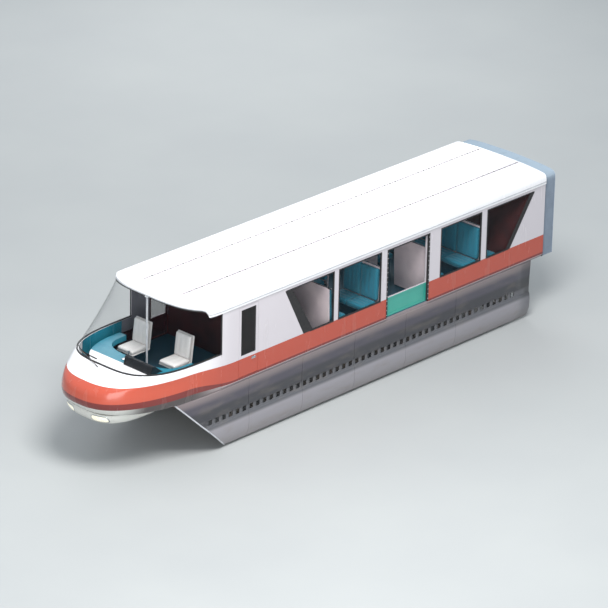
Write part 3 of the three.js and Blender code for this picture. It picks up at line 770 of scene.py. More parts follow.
SEAM_Y, SEAM_PITCH = 0.55, 0.18
seams, rivets = Form(), Form()
for side in SIDES.values():
    y = side * SEAM_Y
    z = roof_height(y)
    seams.box((at(0.03), y - 0.018, z - 0.004), (at(10.45), y + 0.018, z + 0.0015))
    rivets.studs([(at(0.12 + k * SEAM_PITCH), y, z + 0.001) for k in range(57)], "Z", 0.020, 0.007)
make("roof_seams", seams, paints["sealant"])
make("roof_rivets", rivets, paints["rubber"])
print("114 rivets on two seams")

# %% [markdown]
# ## Nose cowl
# Below the glass the nose is one deep moulding: a vertical band that
# carries the stripe round the front, and above it a white ledge that leans
# back to the windshield's foot. It is lofted through level rings, each a
# superellipse in plan, outside face up and inside face down again.

# %% Nose cowl
COWL = [
    # height, reach, half width, power, thickness
    (1.405, NOSE_LENGTH - 0.150, 1.306, 2.5, 0.040),
    (1.470, NOSE_LENGTH - 0.075, 1.328, 2.5, 0.040),
    (1.580, NOSE_LENGTH - 0.012, 1.338, 2.5, 0.040),
    (1.720, NOSE_LENGTH, 1.340, 2.5, 0.040),
    (1.930, NOSE_LENGTH - 0.070, 1.340, 2.5, 0.045),
    (2.070, NOSE_LENGTH - 0.350, 1.337, 2.9, 0.090),
    (RIM, NOSE_LENGTH - 0.665, 1.332, 3.5, 0.060),
]


def ring(z, reach, half, power, steps=96):
    return [(x, y, z) for x, y in nose_curve(reach, half, power, NOSE_START + 0.0003, steps)]


def cowl_shell():
    levels = smooth(COWL, 6)
    outside = [ring(z, reach, half, power) for z, reach, half, power, _ in levels]
    inside = [ring(z, reach - t, half - min(t, 0.04), power) for z, reach, half, power, t in levels]
    form = Form()
    grid = form.sheet([*outside, *reversed(inside)], along=True)
    for end in (0, -1):
        form.mesh.faces.new([row[end] for row in grid])
    return form


make("cowl_shell", cowl_shell(), livery, replaces=["nose_cowl"])
print("cowl from", COWL[0][0], "to", COWL[-1][0])

# %% [markdown]
# ## Windshield
# One wraparound pane leans back from the cowl's rim to the roof. Its plan
# is squarer at the foot than at the top, so its rings change power as they
# rise. Each column stops where it meets the roof's underside.

# %% Windshield
PANE = [
    # height, reach, half width, power
    (2.2003, NOSE_LENGTH - 0.680, 1.327, 3.5), (2.500, 1.790, 1.329, 3.2), (2.820, 1.440, 1.330, 2.9),
    (3.130, 1.110, 1.330, 2.7), (3.425, 0.770, 1.330, 2.7),
]
PANE_LEVELS = smooth(PANE, 8)
PANE_STEPS, PANE_ROWS = 96, 30


def pane_spot(k, z, inset=0.0):
    """The windshield's point at angle step k and height z."""
    _, reach, half, power = between(PANE_LEVELS, z)
    x, y = nose_curve(reach - inset, half - inset, power, NOSE_START + 0.0003, PANE_STEPS)[k]
    return x, y, z


def pane_top(k):
    z = 3.2
    for _ in range(8):
        z = under_height(pane_spot(k, z)[1]) - 0.0008
    return z


def windshield_shell():
    tops = [pane_top(k) for k in range(PANE_STEPS + 1)]
    parts = [r / PANE_ROWS for r in range(PANE_ROWS + 1)]
    faces = []
    for inset in (0.0, 0.014):
        faces.append([[pane_spot(k, PANE[0][0] + (top - PANE[0][0]) * part, inset)
                       for k, top in enumerate(tops)] for part in parts])
    form = Form()
    grid = form.sheet([*faces[0], *reversed(faces[1])], along=True)
    for end in (0, -1):
        form.mesh.faces.new([row[end] for row in grid])
    return form


make("windshield_pane", windshield_shell(), nose_glass, replaces=["windshield"])
print("the pane meets the roof", round(pane_top(PANE_STEPS // 2), 3), "up at the middle")

# %% [markdown]
# ## Windshield seals
# A rubber channel holds the pane at its foot and another under the visor,
# and a thin upright strip closes it against each side wall. Black rubber
# round clear glass is what makes a windshield's edge readable. One wiper
# lies parked along the foot of the pane.

# %% Windshield seals
seal = Form()
foot = [pane_spot(k, 2.204) for k in range(PANE_STEPS + 1)]
seal.sweep(foot, [(-0.020, -0.006), (0.010, -0.006), (0.006, 0.022), (-0.020, 0.022)])
head = [pane_spot(k, pane_top(k) - 0.012) for k in range(2, PANE_STEPS - 1)]
seal.sweep(head, bar(0.026, -0.014, 0.012))
for side in SIDES.values():
    y = side * 1.334
    seal.box((NOSE_START - 0.012, y - 0.008, RIM), (NOSE_START + 0.014, y + 0.008, WALL_TOP - 0.001))
make("windshield_seals", seal, paints["rubber"], angle=50)
print("windshield seals follow", len(foot), "points")

# %% Windshield wiper
WIPER_Z, WIPER_REACH = 2.262, (-0.98, -0.16)
wiper, blade = Form(), Form()
swept = [k for k in range(PANE_STEPS + 1) if WIPER_REACH[0] < pane_spot(k, WIPER_Z)[1] < WIPER_REACH[1]]
blade.sweep([pane_spot(k, WIPER_Z, -0.012) for k in swept], bar(0.006, -0.011, 0.016), (0, 0, 1))
pivot = Vector((NOSE_START + NOSE_LENGTH - 0.590, 0.0, 2.172))
middle = pane_spot(swept[len(swept) // 2], WIPER_Z, -0.030)
wiper.tube([pivot - Vector((0, 0, 0.03)), pivot + Vector((0, 0, 0.030))], 0.024)
wiper.tube([pivot + Vector((0, 0, 0.022)), pivot + Vector((-0.03, -0.12, 0.050)), middle], 0.009)
make("wiper_blade", blade, paints["rubber"])
make("wiper_arm", wiper, paints["frame_paint"], angle=50)
print("wiper blade over", len(swept), "steps of the pane")

# %% [markdown]
# ## Chin and headlamps
# Under the cowl a pale bowl fairs the front over the beam. It is open
# behind and above. Two oval lamps look forward through it, each a ribbed
# lens in a bright rim.

# %% Chin fairing
CHIN_REAR = at(11.47)
CHIN = [
    # height, reach, half width
    (1.3997, 1.235, 0.920), (1.290, 1.230, 0.880), (1.185, 1.160, 0.800), (1.150, 1.060, 0.700),
]


def chin_ring(z, reach, half):
    return [(x, y, z) for x, y in nose_curve(reach, half, 3.0, CHIN_REAR, 72)]


def chin_shell():
    levels = smooth(CHIN, 6)
    outside = [chin_ring(*level) for level in levels]
    inside = [chin_ring(z, reach - 0.02, half - 0.025) for z, reach, half in levels[:-6]]
    floors = [(1.06 * s, 0.70 * s) for s in (0.75, 0.5, 0.25, 0.001)]
    under = [chin_ring(1.150, *size) for size in floors]
    over = [chin_ring(1.175, *size) for size in reversed(floors)]
    form = Form()
    grid = form.sheet([*outside, *under, *over, *reversed(inside)], along=True)
    for end in (0, -1):
        form.mesh.faces.new([row[end] for row in grid])
    return form


make("chin_shell", chin_shell(), fairing, replaces=["chin_fairing"])
print("chin", round(CHIN_REAR + 1.235, 3), "m forward")

# %% Headlamps
LAMP_Y, LAMP_Z, LAMP_HALF, LAMP_RADIUS = 0.430, 1.288, 0.110, 0.068


def chin_front(y, z):
    """X of the chin's outer face at y and z."""
    _, reach, half = between(sorted(smooth(CHIN, 6)), z)
    return CHIN_REAR + reach * max(0.0, 1 - (abs(y) / half) ** 3.0) ** (1 / 3.0)


def lamp_oval(side, grow):
    """A long oval: two half circles, with points along the straight stretches between them."""
    radius = LAMP_RADIUS + grow
    turns = [math.pi * k / 14 for k in range(15)]
    arc = [(LAMP_HALF + radius * math.sin(turn), radius * math.cos(turn)) for turn in turns]
    straight = [(LAMP_HALF * (1 - k / 5), -radius) for k in range(1, 10)]
    half = [*arc, *straight]
    return [(side * LAMP_Y + u, LAMP_Z + w) for u, w in [*half, *((-u, -w) for u, w in half)]]


def lamp_ring(side, grow, proud):
    return [(chin_front(y, z) + proud, y, z) for y, z in lamp_oval(side, grow)]


for name, side in SIDES.items():
    rim, glass = Form(), Form()
    rings = [lamp_ring(side, 0.014, -0.02), lamp_ring(side, 0.014, 0.003), lamp_ring(side, 0.008, 0.008),
             lamp_ring(side, 0.0, 0.008), lamp_ring(side, -0.002, -0.02)]
    rim.sheet(rings, around=True, along=True)
    make(f"lamp_rim_{name}", rim, paints["alloy"], angle=50)
    dome = [lamp_ring(side, grow, proud) for grow, proud in (
        (-0.001, -0.03), (-0.001, 0.001), (-0.012, 0.005),
        (-0.032, 0.0075), (-0.05, 0.0085), (-0.067, 0.009))]
    glass.loft(dome)
    make(f"lamp_lens_{name}", glass, paints["lamp_lens"], replaces=[f"headlamp_{name}"])
print("headlamps", round(2 * (LAMP_HALF + LAMP_RADIUS), 3), "m wide")

# %% [markdown]
# ## Side walls, windows and their rubber
# The walls are flat, so the CAD solids only take their paint and a fine
# bevel. Every window is held by a black rubber strip set into its edge. The
# two windows next to the slanted partitions have a sloping end, and there
# the rubber is a broad bar that hides the partition's edge.

# %% Walls and window rubber
WINDOWS = (
    # stations of the corners: low rear, low front, high front, high rear
    (1.18, 1.90, 1.90, 0.41), (2.10, 3.39, 3.39, 2.10), (5.28, 6.57, 6.57, 5.28), (6.73, 7.42, 8.15, 6.73),
)
SLANT_BARS = ((7.34, 7.63, 8.20, 8.01), (1.13, 1.25, 0.48, 0.36))
PLAIN_GLASS = [name for name in nodes if "glass" in name or "door_pane" in name]


def window_corners(stations):
    heights = (STRIPE_HIGH, STRIPE_HIGH, WINDOW_TOP, WINDOW_TOP)
    return [(at(station), z) for station, z in zip(stations, heights)]



dress(livery, "side_wall_left", "side_wall_right", bevel=0.002)
dress(side_glass, *PLAIN_GLASS)
dress(dark_pilot_glass, "pilot_pane_left", "pilot_pane_right")
for name, side in SIDES.items():
    rubber = Form()
    for row in WINDOWS:
        path = [(x, side * HALF, z) for x, z in window_corners(row)]
        rubber.sweep(path, [(a, side * b) for a, b in bar(0.030, -0.026, 0.004)], (0, 1, 0), closed=True)
    for row in SLANT_BARS:
        rubber.prism(window_corners(row), "Y", side * (HALF - 0.026), side * (HALF + 0.005))
    make(f"window_rubber_{name}", rubber, paints["rubber"], bevel=0.002)
print(len(WINDOWS), "windows a side,", len(PLAIN_GLASS), "sheets of glass")

# %% [markdown]
# ## Doors
# The saloon's doors slide behind the wall, so nothing may stand proud of
# their leaves. The rubber that seals a leaf sits on the doorway instead,
# held by a row of pale screws. Below the window a leaf is sea green where
# the walls are coral. The pilot's doors are hinged and carry a lever
# handle.

# %% Doors
DOOR_BOTTOM, SCREWS = 1.49, 15


def door_finish():
    paint = Finish("door_paint", Coat_Weight=0.4, Coat_Roughness=0.1)
    grain = paint.noise(2.0, 4.0)
    green = paint.blend(srgb(62, 158, 140), srgb(48, 138, 126), grain)
    # The white above the green is the walls' grey of painted shade.
    return paint.apply(paint.blend(SHADED_WALL_WHITE, green, paint.z < STRIPE_HIGH - 0.012), grain * 0.1 + 0.28)


door_paint = door_finish()
dress(door_paint, "door_leaf_left", "door_leaf_right", bevel=0.002)
dress(door_paint, "door_panel_left", "door_panel_right", bevel=0.001)
dress(livery, "pilot_door_left", "pilot_door_right", bevel=0.002)
for name, side in SIDES.items():
    rubber, screws, handle = Form(), Form(), Form()
    rear, front, proud = at(DOORWAY[0]), at(DOORWAY[1]), side * (HALF + 0.003)
    y0, y1 = sorted((side * (LEAF_OUT + 0.007), proud))
    for edge, inward in ((rear, 1), (front, -1)):
        x0, x1 = sorted((edge - inward * 0.012, edge + inward * 0.032))
        rubber.box((x0, y0, DOOR_BOTTOM), (x1, y1, WINDOW_TOP + 0.01))
        heights = [DOOR_BOTTOM + 0.05 + 0.11 * k for k in range(SCREWS)]
        screws.studs([(edge + inward * 0.010, proud, z) for z in heights], "Y", 0.011, side * 0.003)
    rubber.box((rear + 0.03, y0, WINDOW_TOP - 0.02), (front - 0.03, y1, WINDOW_TOP + 0.01))
    make(f"doorway_rubber_{name}", rubber, paints["rubber"], bevel=0.002)
    make(f"doorway_screws_{name}", screws, paints["trim_paint"])
    x, y, z = at(9.10), side * (HALF + 0.002), 1.86
    y0, y1 = sorted((y, y - side * 0.004))
    handle.box((x - 0.045, y0, z - 0.03), (x + 0.075, y1, z + 0.03))
    handle.tube([(x - 0.02, y, z), (x - 0.02, y + side * 0.028, z), (x + 0.06, y + side * 0.028, z)], 0.007)
    make(f"pilot_handle_{name}", handle, paints["stainless_tube"],
         body=f"cab_door_{name}", angle=50)
print("doorway rubber and", 2 * SCREWS, "screws a side")

# %% [markdown]
# ## Skirts
# Each skirt is a long pressed panel, bowed out below and ribbed with
# cooling louvres. It is drawn as a sheet: heights give its rows, stations
# its columns, and the louvre openings are faces left out. The front edge
# follows the slanted cut, and the sheet then gets its thickness inward.

# %% Skirt sheets
SKIRT = [
    # height, half width
    (0.030, 1.200), (0.090, 1.258), (0.260, 1.312), (0.470, 1.326), (0.610, 1.312),
    (0.650, 1.292), (0.820, 1.290), (1.130, 1.302), (1.395, 1.316),
]
SKIRT_LEVELS = smooth(SKIRT, 4)
SKIRT_REAR, SKIRT_REACH, SKIRT_POWER = at(0.36), NOSE_LENGTH - 0.19, 2.3
SLANT = [(0.010, 9.680), (0.060, 9.850), (0.180, 9.990), (1.450, 11.330)]
LOUVRE_LOW, LOUVRE_HIGH, LOUVRE_HALF = 0.67, 0.79, 0.0525
LOUVRES = [at(0.9 + 0.2 * k) for k in range(48)]
JOINTS = [at(s) for s in (2.8, 4.4, 6.0, 7.6, 9.2)]


def skirt_half(x, half):
    """Half width at x of a skirt level that is half wide along the straight part."""
    forward = max(0.0, (x - NOSE_START) / SKIRT_REACH)
    return half * max(0.0, 1 - forward ** SKIRT_POWER) ** (1 / SKIRT_POWER)


def slant_end(z):
    return at(between(SLANT, z)[1])


def skirt_columns():
    spots = {SKIRT_REAR, *(x + s for x in LOUVRES for s in (-LOUVRE_HALF, LOUVRE_HALF))}
    spots |= {x + s for x in JOINTS for s in (-0.006, -0.002, 0.002, 0.006)}
    spots |= {at(10.62 + 0.04 * k) for k in range(20)}
    return sorted(spots)


def skirt_sheet(side):
    heights = sorted({z for z, _ in SKIRT_LEVELS} | {LOUVRE_LOW, LOUVRE_HIGH})
    columns, rows = skirt_columns(), []
    for z in heights:
        half, end = between(SKIRT_LEVELS, z)[1], slant_end(z)
        row = []
        for x in columns:
            spot = min(x, end)
            joint = any(abs(x - j) < 0.003 for j in JOINTS)
            row.append((spot, side * (skirt_half(spot, half) - 0.010 * joint), z))
        rows.append(row)

    def solid_face(r, i):
        in_louvre = any(abs(columns[i] + LOUVRE_HALF - x) < 1e-6 for x in LOUVRES)
        return not (in_louvre and LOUVRE_LOW <= heights[r] < LOUVRE_HIGH - 1e-6)

    form = Form()
    form.sheet(rows, keep=solid_face)
    bmesh.ops.dissolve_degenerate(form.mesh, dist=1e-5, edges=form.mesh.edges)
    return form


for name, side in SIDES.items():
    make(f"skirt_sheet_{name}", skirt_sheet(side), skirt_grey, replaces=[f"skirt_{name}"],
         thick=0.024, out=(0, side, 0), angle=30)
print(len(LOUVRES), "louvres,", len(JOINTS), "panel joints a side")

# %% Louvre vanes and edge trim
for name, side in SIDES.items():
    vanes, trim = Form(), Form()
    for x in LOUVRES:
        for z in (LOUVRE_LOW + 0.02, LOUVRE_LOW + 0.055, LOUVRE_LOW + 0.09):
            y = side * (skirt_half(x, 1.290) - 0.006)
            back = y - side * 0.020
            vane = [(y, z + 0.016), (back, z - 0.006), (back, z - 0.002), (y, z + 0.020)]
            vanes.prism(vane, "X", x - LOUVRE_HALF - 0.004, x + LOUVRE_HALF + 0.004)
    edge = []
    for z in (0.06, 0.12, 0.18, 0.3, 0.45, 0.6, 0.7, 0.8, 0.9, 1.0, 1.1, 1.2, 1.3, 1.39):
        x = slant_end(z) - 0.012
        edge.append((x, side * skirt_half(x, between(SKIRT_LEVELS, z)[1]), z))
    trim.sweep(edge, bar(0.026, -0.022, 0.004) if side > 0 else bar(0.026, -0.004, 0.022), (0, 1, 0))
    make(f"louvre_vanes_{name}", vanes, paints["frame_paint"])
    make(f"skirt_trim_{name}", trim, paints["trim_paint"], angle=60)
print("vanes and the pale edge of each skirt")

# %% [markdown]
# ## Gangway bellows
# The fabric that joins this car to the next is folded like a concertina.
# Its rings alternate between two sizes along the gangway's length. A strip
# closes each ring under the floor, and a flat rubber frame clamps it to the
# body.

# %% Gangway bellows
BELLOWS_LINE = [
    (1.312, 1.385), (1.312, 2.000), (1.312, 2.700), (1.312, 3.200), (1.290, 3.275), (1.240, 3.322),
    (1.100, 3.352), (0.760, 3.378), (0.0, 3.398),
]
BELLOWS_REAR, FOLDS = at(-0.35), 6
BELLOWS_HALF, BELLOWS_LOW = BELLOWS_LINE[0]


def arch(inset):
    """The gangway's outline from the left foot over the top to the right foot."""
    line = enumerate(smooth(BELLOWS_LINE, 4))
    return mirrored([(y * (1 - inset / BELLOWS_HALF), z - inset if k else z) for k, (y, z) in line])


def gangway_ring(form, spots):
    """Loft an arch and the strip that closes it below. A spot is x, inset and thickness."""
    arches, sills = [], []
    for x, inset, thick in spots:
        arches.append([(x, y, z) for y, z in [*arch(inset), *reversed(arch(inset + thick))]])
        half, low = BELLOWS_HALF - inset - thick, BELLOWS_LOW + inset
        sills.append([(x, half, low), (x, half, low + thick), (x, -half, low + thick), (x, -half, low)])
    form.loft(arches)
    form.loft(sills)


def fold_spots():
    count, length = 4 * FOLDS, at(-0.0303) - BELLOWS_REAR
    return [(BELLOWS_REAR + length * k / count, 0.013 - 0.013 * math.cos(math.pi * k / 2), 0.034)
            for k in range(count + 1)]


pleats, clamp = Form(), Form()
gangway_ring(pleats, fold_spots())
gangway_ring(clamp, [(at(s), 0.002, 0.053) for s in (-0.030, -0.0003)])
make("bellows_pleats", pleats, fabric, replaces=["bellows"], angle=60)
make("bellows_clamp", clamp, paints["rubber"])
dress(paints["frame_paint"], "drawbar", bevel=0.004)
print(FOLDS, "folds in", round(at(0) - BELLOWS_REAR, 3), "m")

# %% [markdown]
# ## Padding
# A seat pad is foam under a tight cover: a rounded block whose faces swell
# between sewn channels. A subdivided cube gives the block, its corners are
# drawn in to a radius, and a small wave presses the channels in.

# %% Cushions
def block_grid(cuts=18):
    """A cube from -1 to 1 with its faces divided, as points and faces."""
    block = bmesh.new()
    bmesh.ops.create_cube(block, size=2.0)
    bmesh.ops.subdivide_edges(block, edges=block.edges, cuts=cuts, use_grid_fill=True)
    block.verts.index_update()
    grid = [v.co.copy() for v in block.verts], [[v.index for v in face.verts] for face in block.faces]
    block.free()
    return grid


BLOCK_POINTS, BLOCK_FACES = block_grid()


def cushion(form, low, high, radius, swell, channels, across, lean=0.0):
    """A padded block. Its channels repeat over the axis across, and lean shears x by height."""
    low, high = Vector(low), Vector(high)
    centre, half = (low + high) / 2, (high - low) / 2
    thin = min(range(3), key=lambda k: half[k])
    verts = []
    for unit in BLOCK_POINTS:
        spot = Vector([unit[k] * half[k] for k in range(3)])
        core = Vector([max(radius - half[k], min(half[k] - radius, spot[k])) for k in range(3)])
        away = spot - core
        spot = core + away.normalized() * min(radius, away.length)
        if abs(unit[thin]) > 0.999:
            flat = [unit[k] for k in range(3) if k != thin]
            dome = (1 - flat[0] ** 4) * (1 - flat[1] ** 4)
            groove = abs(math.cos(math.pi * channels * (unit[across] + 1) / 2)) ** 12
            spot[thin] += math.copysign(dome * (swell - (swell + 0.004) * groove), unit[thin])
        spot += centre
        spot.x += lean * (spot.z - low.z)
        verts.append(form.mesh.verts.new(spot))
    for face in BLOCK_FACES:
        form.mesh.faces.new([verts[k] for k in face])


def rounded(wide, tall, radius, steps=5):
    """A rectangle's outline with round corners, as (across, up) points about its middle."""
    spots = []
    for corner, (sx, sy) in enumerate(((1, 1), (-1, 1), (-1, -1), (1, -1))):
        for k in range(steps + 1):
            angle = math.pi / 2 * (corner + k / steps)
            spots.append((sx * (wide / 2 - radius) + radius * math.cos(angle),
                          sy * (tall / 2 - radius) + radius * math.sin(angle)))
    return spots


print("cushion kit ready")

# %% [markdown]
# ## Saloon benches
# A bench is a plinth, a moulded back shell in pale pink, two teal pads to
# a place and a grab rail along the top. The shell leans back by 50 mm over
# its height. All six benches come from one table, with the side that each
# faces and the width that it takes.

# %% Saloon benches
BENCHES = [
    # name, station, facing, low y, high y, places
    ("bench_a", 2.06, 1, -1.24, 1.24, 4), ("bench_d", 6.69, -1, -1.24, 1.24, 4),
    ("bench_b_left", 5.26, 1, 0.26, 1.24, 2), ("bench_b_right", 5.26, 1, -1.24, -0.26, 2),
    ("bench_c_left", 3.60, -1, 0.26, 1.24, 2), ("bench_c_right", 3.60, -1, -1.24, -0.26, 2),
]
SEAT_BASE = FLOOR + 0.0003
BENCH_LEAN = -0.05 / 1.18
BENCH_SHELL = [
    (-0.110, 1.155), (-0.060, 0.02), (-0.030, 0.02), (-0.062, 1.14), (-0.075, 1.175), (-0.095, 1.18)]
BENCH_PLINTH = [(-0.04, 0.0), (0.36, 0.0), (0.375, 0.285), (0.455, 0.300), (0.455, 0.318), (-0.04, 0.318)]


def bench_pieces(name, station, facing, y0, y1, places):
    x = at(station)
    shell, plinth, seats, backs, rail = Form(), Form(), Form(), Form(), Form()
    for form, side_view, inset in ((shell, BENCH_SHELL, 0), (plinth, BENCH_PLINTH, 0.004)):
        form.prism([(x + facing * a, SEAT_BASE + b) for a, b in side_view], "Y", y0 + inset, y1 - inset)
    wide = (y1 - y0) / places
    for k in range(places):
        side_low, side_high = y0 + wide * k + 0.005, y0 + wide * (k + 1) - 0.005
        ends = sorted((x + facing * 0.03, x + facing * 0.468))
        cushion(seats, (ends[0], side_low, SEAT_BASE + 0.320), (ends[1], side_high, SEAT_BASE + 0.432),
                0.035, 0.014, 4, 0)
        ends = sorted((x - facing * 0.050, x + facing * 0.045))
        cushion(backs, (ends[0], side_low, SEAT_BASE + 0.435), (ends[1], side_high, SEAT_BASE + 1.150),
                0.030, 0.012, 4, 1, BENCH_LEAN * facing)
    top = SEAT_BASE + 1.155
    bend = x - facing * 0.088
    path = [(bend, y0 + 0.03, top - 0.05), (bend, y0 + 0.04, top + 0.012), (bend, y0 + 0.09, top + 0.035),
            (bend, y1 - 0.09, top + 0.035), (bend, y1 - 0.04, top + 0.012), (bend, y1 - 0.03, top - 0.05)]
    rail.tube(smooth(path, 5), 0.012, 10, up=(1, 0, 0))
    make(f"{name}_shell", shell, paints["seat_shell"], replaces=[name], bevel=0.004)
    make(f"{name}_plinth", plinth, paints["floor_vinyl"], bevel=0.004)
    make(f"{name}_rail", rail, paints["stainless_tube"], angle=60)
    for kind, form in (("seat", seats), ("back", backs)):
        make(f"{name}_{kind}_pads", form, weave, angle=70)


for row in BENCHES:
    bench_pieces(*row)
print(len(BENCHES), "benches with", sum(row[5] for row in BENCHES), "places")

# %% [markdown]
# ## Saloon trim
# Dark laminate faces the slanted partitions. Stainless poles stand by the
# doorway, lights run along the ceiling, and the floor is teal vinyl that
# turns up at the walls. Where a door slides back along the wall, a low
# steel guard keeps feet off it. Behind the last bench a padded shelf
# covers the foot of the partition.

# %% Saloon trim
dress(paints["laminate"], "wheel_housing_rear", bevel=0.004)
dress(paints["cab_lining"], "wheel_housing_front", bevel=0.004)


def deck_finish():
    """Vinyl on top of the floor, and its painted edge and underside below."""
    deck = Finish("deck_finish")
    grain = deck.noise(90.0, 4.0)
    vinyl = deck.blend(srgb(40, 92, 110), srgb(30, 74, 94), grain)
    painted = deck.blend(srgb(150, 138, 140), srgb(118, 108, 110), deck.noise(3.0, 5.0))
    colour = deck.blend(painted, vinyl, deck.z > FLOOR - 0.004)
    return deck.apply(colour, grain * 0.1 + 0.55, grain, 0.0004)


dress(deck_finish(), "floor_deck", bevel=0.002)
poles, lights, coves, guards = Form(), Form(), Form(), Form()
for station in (3.60, 5.26):
    for side in SIDES.values():
        x, y = at(station) + (-0.06 if station < 4 else 0.06), side * 0.30
        poles.tube([(x, y, SEAT_BASE + 1.19), (x, y, under_height(y) - 0.001)], 0.016, up=(1, 0, 0))
        poles.lathe([(0, -0.012), (0.036, -0.012), (0.036, -0.004), (0.02, 0.004), (0, 0.004)],
                    (x, y, under_height(y) - 0.002), "Z", 20)
for side in SIDES.values():
    y = side * 0.62
    lights.prism(rounded(0.14, 0.03, 0.012), "X", at(1.6), at(7.6))
    for verts in [v for v in lights.mesh.verts if abs(v.co.y) < 0.2 and abs(v.co.z) < 0.5]:
        verts.co += Vector((0, y, under_height(y) - 0.008))
    for form, rear, front, middle, half, rise in (
            (coves, 5.14, 7.2, 1.286, 0.012, 0.09), (guards, 1.5, 3.66, 1.248, 0.005, 0.12)):
        y = side * middle
        form.box((at(rear), y - half, FLOOR + 0.001), (at(front), y + half, FLOOR + rise))
make("grab_poles", poles, paints["stainless_tube"], angle=60)
make("ceiling_lights", lights, paints["light_diffuser"])
make("floor_coves", coves, paints["floor_vinyl"], bevel=0.004)
make("door_guards", guards, paints["stainless_tube"])
shelf, pads = Form(), Form()
shelf.box((at(1.46), -1.235, SEAT_BASE), (at(1.90), 1.235, SEAT_BASE + 0.36))
for k in range(4):
    low = (at(1.465), -1.23 + 0.615 * k, SEAT_BASE + 0.362)
    high = (at(1.90), -1.23 + 0.615 * (k + 1), SEAT_BASE + 0.42)
    cushion(pads, low, high, 0.025, 0.008, 2, 0)
make("rear_shelf", shelf, paints["laminate"], bevel=0.004)
make("rear_shelf_pads", pads, weave, angle=70)
print("poles, lights, coves and the shelf behind the last bench")

# %% [markdown]
# ## The pilot's cab
# The cab is a dark maroon room. Its dash is a teal shelf with a white ledge
# under the glass. White vinyl seats stand on pedestals, a white pole runs
# up between them, and before the pilot is a black binnacle with blank
# instruments and a lever for power and brake.

# %% Cab seats
CAB_SEATS = (("pilot_seat", 10.50, 0.45), ("second_seat", 10.64, -0.64))
PEDESTAL = [(0, 0), (0.200, 0), (0.200, 0.012), (0.185, 0.024), (0.075, 0.040), (0.055, 0.07),
            (0.050, 0.355), (0.110, 0.372), (0, 0.372)]
CAB_SHELL = [
    (-0.325, 0.975), (-0.245, 0.374), (0.25, 0.374), (0.25, 0.395), (-0.225, 0.395), (-0.305, 0.975)]
for name, station, y in CAB_SEATS:
    x = at(station)
    pedestal, shell, pads = Form(), Form(), Form()
    pedestal.lathe(PEDESTAL, (x, y, SEAT_BASE), "Z", 32)
    shell.prism([(x + a, SEAT_BASE + b) for a, b in CAB_SHELL], "Y", y - 0.235, y + 0.235)
    cushion(pads, (x - 0.215, y - 0.225, SEAT_BASE + 0.394), (x + 0.255, y + 0.225, SEAT_BASE + 0.478),
            0.035, 0.010, 3, 1)
    cushion(pads, (x - 0.228, y - 0.215, SEAT_BASE + 0.482), (x - 0.150, y + 0.215, SEAT_BASE + 0.975),
            0.034, 0.010, 3, 1, -0.135)
    make(f"{name}_pedestal", pedestal, paints["alloy"], angle=40)
    make(f"{name}_shell", shell, paints["white_vinyl"], replaces=[name], bevel=0.006)
    make(f"{name}_pads", pads, paints["white_vinyl"], angle=70)
print(len(CAB_SEATS), "cab seats")

# %% Dash
LEDGE_X = at(11.56)
DASH_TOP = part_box("console")[1].z


def dash_finish():
    moulding = Finish("dash_moulding")
    grain = moulding.noise(7.0, 4.0)
    colour = moulding.blend(srgb(44, 138, 158), srgb(30, 114, 136), grain)
    colour = moulding.blend(colour, WHITE, moulding.x > LEDGE_X)
    return moulding.apply(colour, grain * 0.1 + 0.4, grain, 0.0003)


def on_slope(across, up, lift=0.0):
    """A spot on the binnacle's sloping face, up from its lower edge and lifted off it."""
    slope = math.radians(38)
    return (FACE_X + up * math.cos(slope) - lift * math.sin(slope), across,
            FACE_Z + up * math.sin(slope) + lift * math.cos(slope))


dress(dash_finish(), "console", bevel=0.012, angle=30)
FACE_X, FACE_Z = at(11.27), DASH_TOP + 0.012
hood, faces, knobs, lever = Form(), Form(), Form(), Form()
side_view = [(FACE_X - 0.012, DASH_TOP), (FACE_X - 0.012, FACE_Z),
             *(on_slope(0, up)[::2] for up in (0, 0.27)),
             (FACE_X + 0.285, FACE_Z + 0.175), (FACE_X + 0.33, DASH_TOP)]
hood.prism(side_view, "Y", 0.05, 0.85)
for y in (0.17, 0.36, 0.55):
    corners = [(a * 0.078, b * 0.078) for a, b in circle(1.0, 40)]
    ring = [[on_slope(y + a * part, 0.135 + b * part, lift) for a, b in corners]
            for part, lift in ((1.12, -0.001), (1.12, 0.010), (1.0, 0.010), (0.97, 0.004), (0.001, 0.004))]
    faces.sheet(ring, around=True)
screen = rounded(0.17, 0.19, 0.015)
faces.loft([[on_slope(0.725 + a, 0.135 + b, lift) for a, b in screen] for lift in (-0.001, 0.008)])
for k in range(7):
    centre = on_slope(0.12 + 0.105 * k, 0.025, 0.0)
    knobs.lathe([(0, -0.002), (0.011, -0.002), (0.010, 0.010), (0, 0.012)], centre, "Z", 16)
lever.box((at(11.26), -0.16, DASH_TOP - 0.001), (at(11.46), -0.04, DASH_TOP + 0.012))
lever.tube([(at(11.33), -0.10, DASH_TOP + 0.010), (at(11.30), -0.10, DASH_TOP + 0.13)], 0.009)
lever.lathe([(0, -0.03), (0.016, -0.026), (0.022, 0.0), (0.016, 0.026), (0, 0.03)],
            (at(11.298), -0.10, DASH_TOP + 0.145), "Y", 24)
make("dash_binnacle", hood, paints["instrument_black"], bevel=0.008)
make("dash_instruments", faces, paints["gauge_face"], angle=50)
make("dash_knobs", knobs, paints["alloy"], angle=50)
make("dash_lever", lever, paints["alloy"], angle=50)

pole = Form()
x, y = at(10.93), 0.05
top = under_height(y)
pole.tube([(x, y, SEAT_BASE), (x, y, top - 0.001)], 0.021, 20, up=(1, 0, 0))
for z, rise in ((SEAT_BASE, 1), (top - 0.001, -1)):
    flange = [(0, 0), (0.05, 0), (0.05, rise * 0.006), (0.03, rise * 0.014), (0, rise * 0.014)]
    pole.lathe(flange, (x, y, z), "Z", 28)
make("cab_pole", pole, paints["trim_paint"], angle=50)
print("dash top at", round(DASH_TOP, 3), "and a pole to", round(top, 3))

